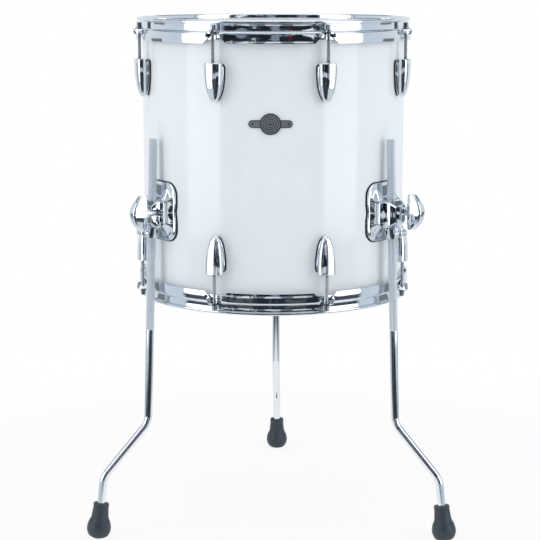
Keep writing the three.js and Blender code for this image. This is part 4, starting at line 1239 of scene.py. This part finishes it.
def add_mounting_screws():
    mesh = mesh_of("mounting_screw", screw_head_form(), 40)
    inward = Matrix.Rotation(-pi / 2, 4, "Y")
    wall = SHELL_RADIUS - SHELL_WALL + 0.1
    for end, number, rim in each_lug():
        for drop in LUG_SCREWS:
            depth = LUG_MOUTH + drop
            place = rim @ shift(wall, 0, -depth) @ inward
            piece(f"{end}_lug_{number}_screw_{depth:.0f}", mesh, "root", "rod_steel", place)
    for side, azimuth in LEG_AZIMUTHS.items():
        for number, (across, up) in enumerate(BASE_SCREWS, 1):
            turn = azimuth + degrees(across / SHELL_RADIUS)
            place = station(turn, wall, BRACKET_HEIGHT + BASE_RISE + up) @ inward
            piece(f"{side}_bracket_screw_{number}", mesh, "root", "rod_steel", place)


# Badge
def badge_outline(inset):
    """The badge's bar with its round ends, drawn in from its edge."""
    radius = BADGE_TAB / 2
    reach = BADGE_WIDTH / 2 - radius
    return arc(reach, 0, radius - inset, -90, 180, 12) + arc(-reach, 0, radius - inset, 90, 180, 12)


def badge_disc_form():
    """Plain rings inside a raised rim."""
    rim = BADGE_DISC - BADGE_RIM
    field = BADGE_RISE - BADGE_GROOVE
    top = BADGE_RISE - 0.1
    profile = [(0.0, 0.0), (BADGE_DISC, 0.0), (BADGE_DISC, BADGE_RISE - 0.5), (BADGE_DISC - 0.5, BADGE_RISE)]
    profile += [(rim, BADGE_RISE), (rim - 0.3, field)]
    for index in range(BADGE_RINGS):
        outer = rim - 0.6 - BADGE_RING_PITCH * index
        inner = outer - BADGE_RING_PITCH * 0.7
        profile += [(outer, field), (outer - 0.15, top), (inner + 0.15, top), (inner, field)]
    profile.append((0.0, field))
    return outward(turned([(radius, BADGE_BACK + rise) for radius, rise in profile], 64, False))


def is_painted_shade(spot):
    """Painted shade: the rims, the grooves and the pins of the badge are darker than its fields."""
    reach = spot.yz.length
    if reach < BADGE_DISC:
        in_groove = spot.x < BADGE_BACK + BADGE_RISE - BADGE_GROOVE + 0.05
        return in_groove or reach > BADGE_DISC - BADGE_RIM - 0.4
    return abs(spot.x - BADGE_FLOOR) > 0.05


def add_badge():
    """A bar and a disc, with a pin in a blind hole at each end."""
    bar = outward(raised(badge_outline(0), BADGE_BACK, BADGE_FRONT, 0.3))
    cuts = [outward(raised(badge_outline(BADGE_BORDER), BADGE_FLOOR, BADGE_FRONT + 2))]
    adds = [badge_disc_form()]
    for side in (-BADGE_HOLE_OFFSET, BADGE_HOLE_OFFSET):
        cuts.append(outward(pin(1.5, BADGE_BACK + 0.3, BADGE_FRONT + 2), side))
        adds.append(outward(pin(1.1, BADGE_BACK + 0.1, BADGE_BACK + 0.7, 20, 0.2), side))
    mesh = carved("badge", bar, cuts, adds, 30)
    # The second look paints shade on the rims, grooves and pins
    two_looks(mesh, "badge_metal", "badge_painted_shade", is_painted_shade)
    for vertex in mesh.vertices:
        vertex.co = bent(vertex.co / MM) * MM
    piece("badge_plate", mesh, "root", "badge_metal", station(0, 0, BADGE_HEIGHT), ["badge"])


# Studio
def add_camera():
    data = bpy.data.cameras.new("camera")
    data.lens = LENS
    data.sensor_width = SENSOR
    camera = linked("camera", data)
    camera.location = AXIS + facing(CAMERA_AZIMUTH) * CAMERA_DISTANCE + UP * CAMERA_HEIGHT
    camera.rotation_euler = (radians(90 - CAMERA_PITCH), 0, radians(CAMERA_TURN))
    bpy.context.scene.camera = camera


def add_light(name, azimuth, height, distance, size, power):
    """A soft lamp that faces the drum's axis, or faces down where its azimuth is None."""
    data = bpy.data.lights.new(name, "AREA")
    data.shape = "RECTANGLE"
    data.size, data.size_y = size
    data.energy = power
    light = linked(name, data)
    away = UP if azimuth is None else facing(azimuth)
    light.location = AXIS + UP * height + away * distance
    light.rotation_euler = away.to_track_quat("Z", "Y").to_euler()


def stepped(tree, value, stops):
    """A colour for each range of a value, with hard steps between."""
    made = node(tree, "ShaderNodeValToRGB", {"Fac": value})
    steps = made.color_ramp
    steps.interpolation = "CONSTANT"
    while len(steps.elements) < len(stops):
        steps.elements.new(1.0)
    for element, (position, colour) in zip(steps.elements, stops):
        element.position = position
        element.color = (*colour, 1)
    return made.outputs["Color"]


def blocks(tree, place, stretch):
    """Three chances for each of the blocks that a place is divided into."""
    scaled = node(tree, "ShaderNodeMapping", {"Vector": place, "Scale": stretch}).outputs[0]
    cells = node(tree, "ShaderNodeTexVoronoi", {"Vector": scaled, "Scale": 1.0}, distance="CHEBYCHEV")
    return node(tree, "ShaderNodeSeparateColor", {0: cells.outputs["Color"]}).outputs


def room_colours(tree, azimuth, height):
    """The room behind the camera, as what shines sees it: blocks of several tones with warm specks."""
    place = node(tree, "ShaderNodeCombineXYZ", {0: azimuth, 1: height, 2: 0.37}).outputs[0]
    chance = blocks(tree, place, (5.4, 4.2, 1.0))[0]
    paler = calc(tree, "MULTIPLY", band(tree, height, -0.19, -0.11, 0.02), 0.62)
    colour = stepped(tree, calc(tree, "ADD", chance, paler), [
        (0.0, (0.012, 0.015, 0.02)),
        (0.4, (0.06, 0.075, 0.1)),
        (0.58, (0.2, 0.25, 0.31)),
        (0.74, (0.46, 0.53, 0.6)),
        (0.86, (0.84, 0.88, 0.92)),
    ])
    specks = ((0.86, (0.03, 0.037, 0.048)), (0.9, (0.7, 0.76, 0.82)), (0.982, (0.25, 0.04, 0.03)))
    for speck, (limit, tone) in zip(blocks(tree, place, (19.0, 3.2, 1.0)), specks):
        colour = blend_colours(tree, calc(tree, "GREATER_THAN", speck, limit), colour, tone)
    return colour


def add_world():
    """White for the camera. What shines sees pale walls, a light ceiling and the room behind the camera."""
    world = bpy.data.worlds.new("studio")
    world.use_nodes = True
    bpy.context.scene.world = world
    tree = world.node_tree
    rays = tree.nodes.new("ShaderNodeLightPath").outputs
    towards = tree.nodes.new("ShaderNodeTexCoord").outputs["Generated"]
    x, y, height = node(tree, "ShaderNodeSeparateXYZ", {"Vector": towards}).outputs
    azimuth = calc(tree, "ARCTAN2", x, calc(tree, "MULTIPLY", y, -1.0))
    aside = calc(tree, "ABSOLUTE", azimuth)
    sideways = ramp(tree, aside, radians(75), radians(150))
    walls = blend_colours(tree, sideways, (0.6, 0.68, 0.75), (0.8, 0.84, 0.88))
    for nearer, further, depth, top in FLAGS:
        across = band(tree, aside, radians(nearer), radians(further), radians(1.5))
        share = calc(tree, "MULTIPLY", across, falling(tree, height, top, top + 0.01, depth))
        walls = blend_colours(tree, share, walls, (0.02, 0.026, 0.034))
    front = falling(tree, aside, radians(40), radians(42))
    room = calc(tree, "MULTIPLY", front, falling(tree, height, 0.42, 0.5))
    seen = blend_colours(tree, room, walls, room_colours(tree, azimuth, height))
    deep = calc(tree, "MULTIPLY", falling(tree, height, -0.2, -0.185), falling(tree, aside, 1.35, 1.45))
    seen = blend_colours(tree, calc(tree, "MULTIPLY", deep, 0.92), seen, (0.016, 0.022, 0.032))
    paper = calc(tree, "MULTIPLY", falling(tree, height, -0.37, -0.33), ramp(tree, aside, 0.7, 0.77))
    seen = blend_colours(tree, paper, seen, (0.64, 0.7, 0.76))
    seen = blend_colours(tree, ramp(tree, height, 0.44, 0.48), seen, (0.14, 0.17, 0.2))
    ceiling = blend_colours(tree, ramp(tree, height, 0.6, 1.0), (0.4, 0.46, 0.52), (0.8, 0.85, 0.9))
    seen = blend_colours(tree, ramp(tree, height, 0.56, 0.6), seen, ceiling)
    plain = blend_colours(tree, rays["Is Diffuse Ray"], (1.0, 1.0, 1.0), (0.6, 0.61, 0.62))
    shown = blend_colours(tree, rays["Is Glossy Ray"], plain, seen)
    tree.links.new(shown, tree.nodes["Background"].inputs["Color"])


def add_floor():
    """White to what sees it, with the drum's shadow, and clear towards its rim."""
    made, tree, shader = material("floor", (0.92, 0.92, 0.92), 0.7, Specular_IOR_Level=0.1)
    tinted(tree, shader, noise(tree, 3.0), (0.91, 0.91, 0.91), (0.93, 0.93, 0.93))
    rays = tree.nodes.new("ShaderNodeLightPath").outputs
    shown = calc(tree, "MAXIMUM", rays["Is Camera Ray"], rays["Is Glossy Ray"])
    shown = calc(tree, "MAXIMUM", shown, rays["Is Transmission Ray"])
    white = node(tree, "ShaderNodeEmission", {"Color": (1, 1, 1, 1), "Strength": 1.0}).outputs[0]
    share = calc(tree, "MULTIPLY", shown, FLOOR_WHITE_SHARE)
    lifted = node(tree, "ShaderNodeMixShader", {0: share, 1: shader.outputs[0], 2: white}).outputs[0]
    centre = tree.nodes.new("ShaderNodeTexCoord").outputs["Object"]
    distance = node(tree, "ShaderNodeVectorMath", {0: centre}, operation="LENGTH").outputs["Value"]
    reach = calc(tree, "ADD", 1.0, calc(tree, "MULTIPLY", rays["Is Glossy Ray"], 0.7))
    fade = ramp(tree, calc(tree, "MULTIPLY", distance, reach), 0.5, 1.3)
    clear = tree.nodes.new("ShaderNodeBsdfTransparent").outputs[0]
    mix = node(tree, "ShaderNodeMixShader", {0: fade, 1: lifted, 2: clear})
    tree.links.new(mix.outputs[0], tree.nodes["Material Output"].inputs["Surface"])
    mesh = bpy.data.meshes.new("floor")
    rim = level(circle(FLOOR_RADIUS, 96), 0)
    mesh.from_pydata(rim, [], [tuple(range(len(rim)))])
    mesh.materials.append(made)
    floor = linked("floor", mesh)
    floor.location = AXIS - UP * FLOOR_DROP


def main():
    add_shell()
    add_hoops()
    add_heads()
    add_rods()
    add_lugs()
    add_legs()
    add_brackets()
    add_mounting_screws()
    add_badge()
    add_camera()
    add_world()
    add_floor()
    for name, lamp in LAMPS.items():
        add_light(name, *lamp)
    bpy.context.scene.view_settings.view_transform = "Standard"


main()
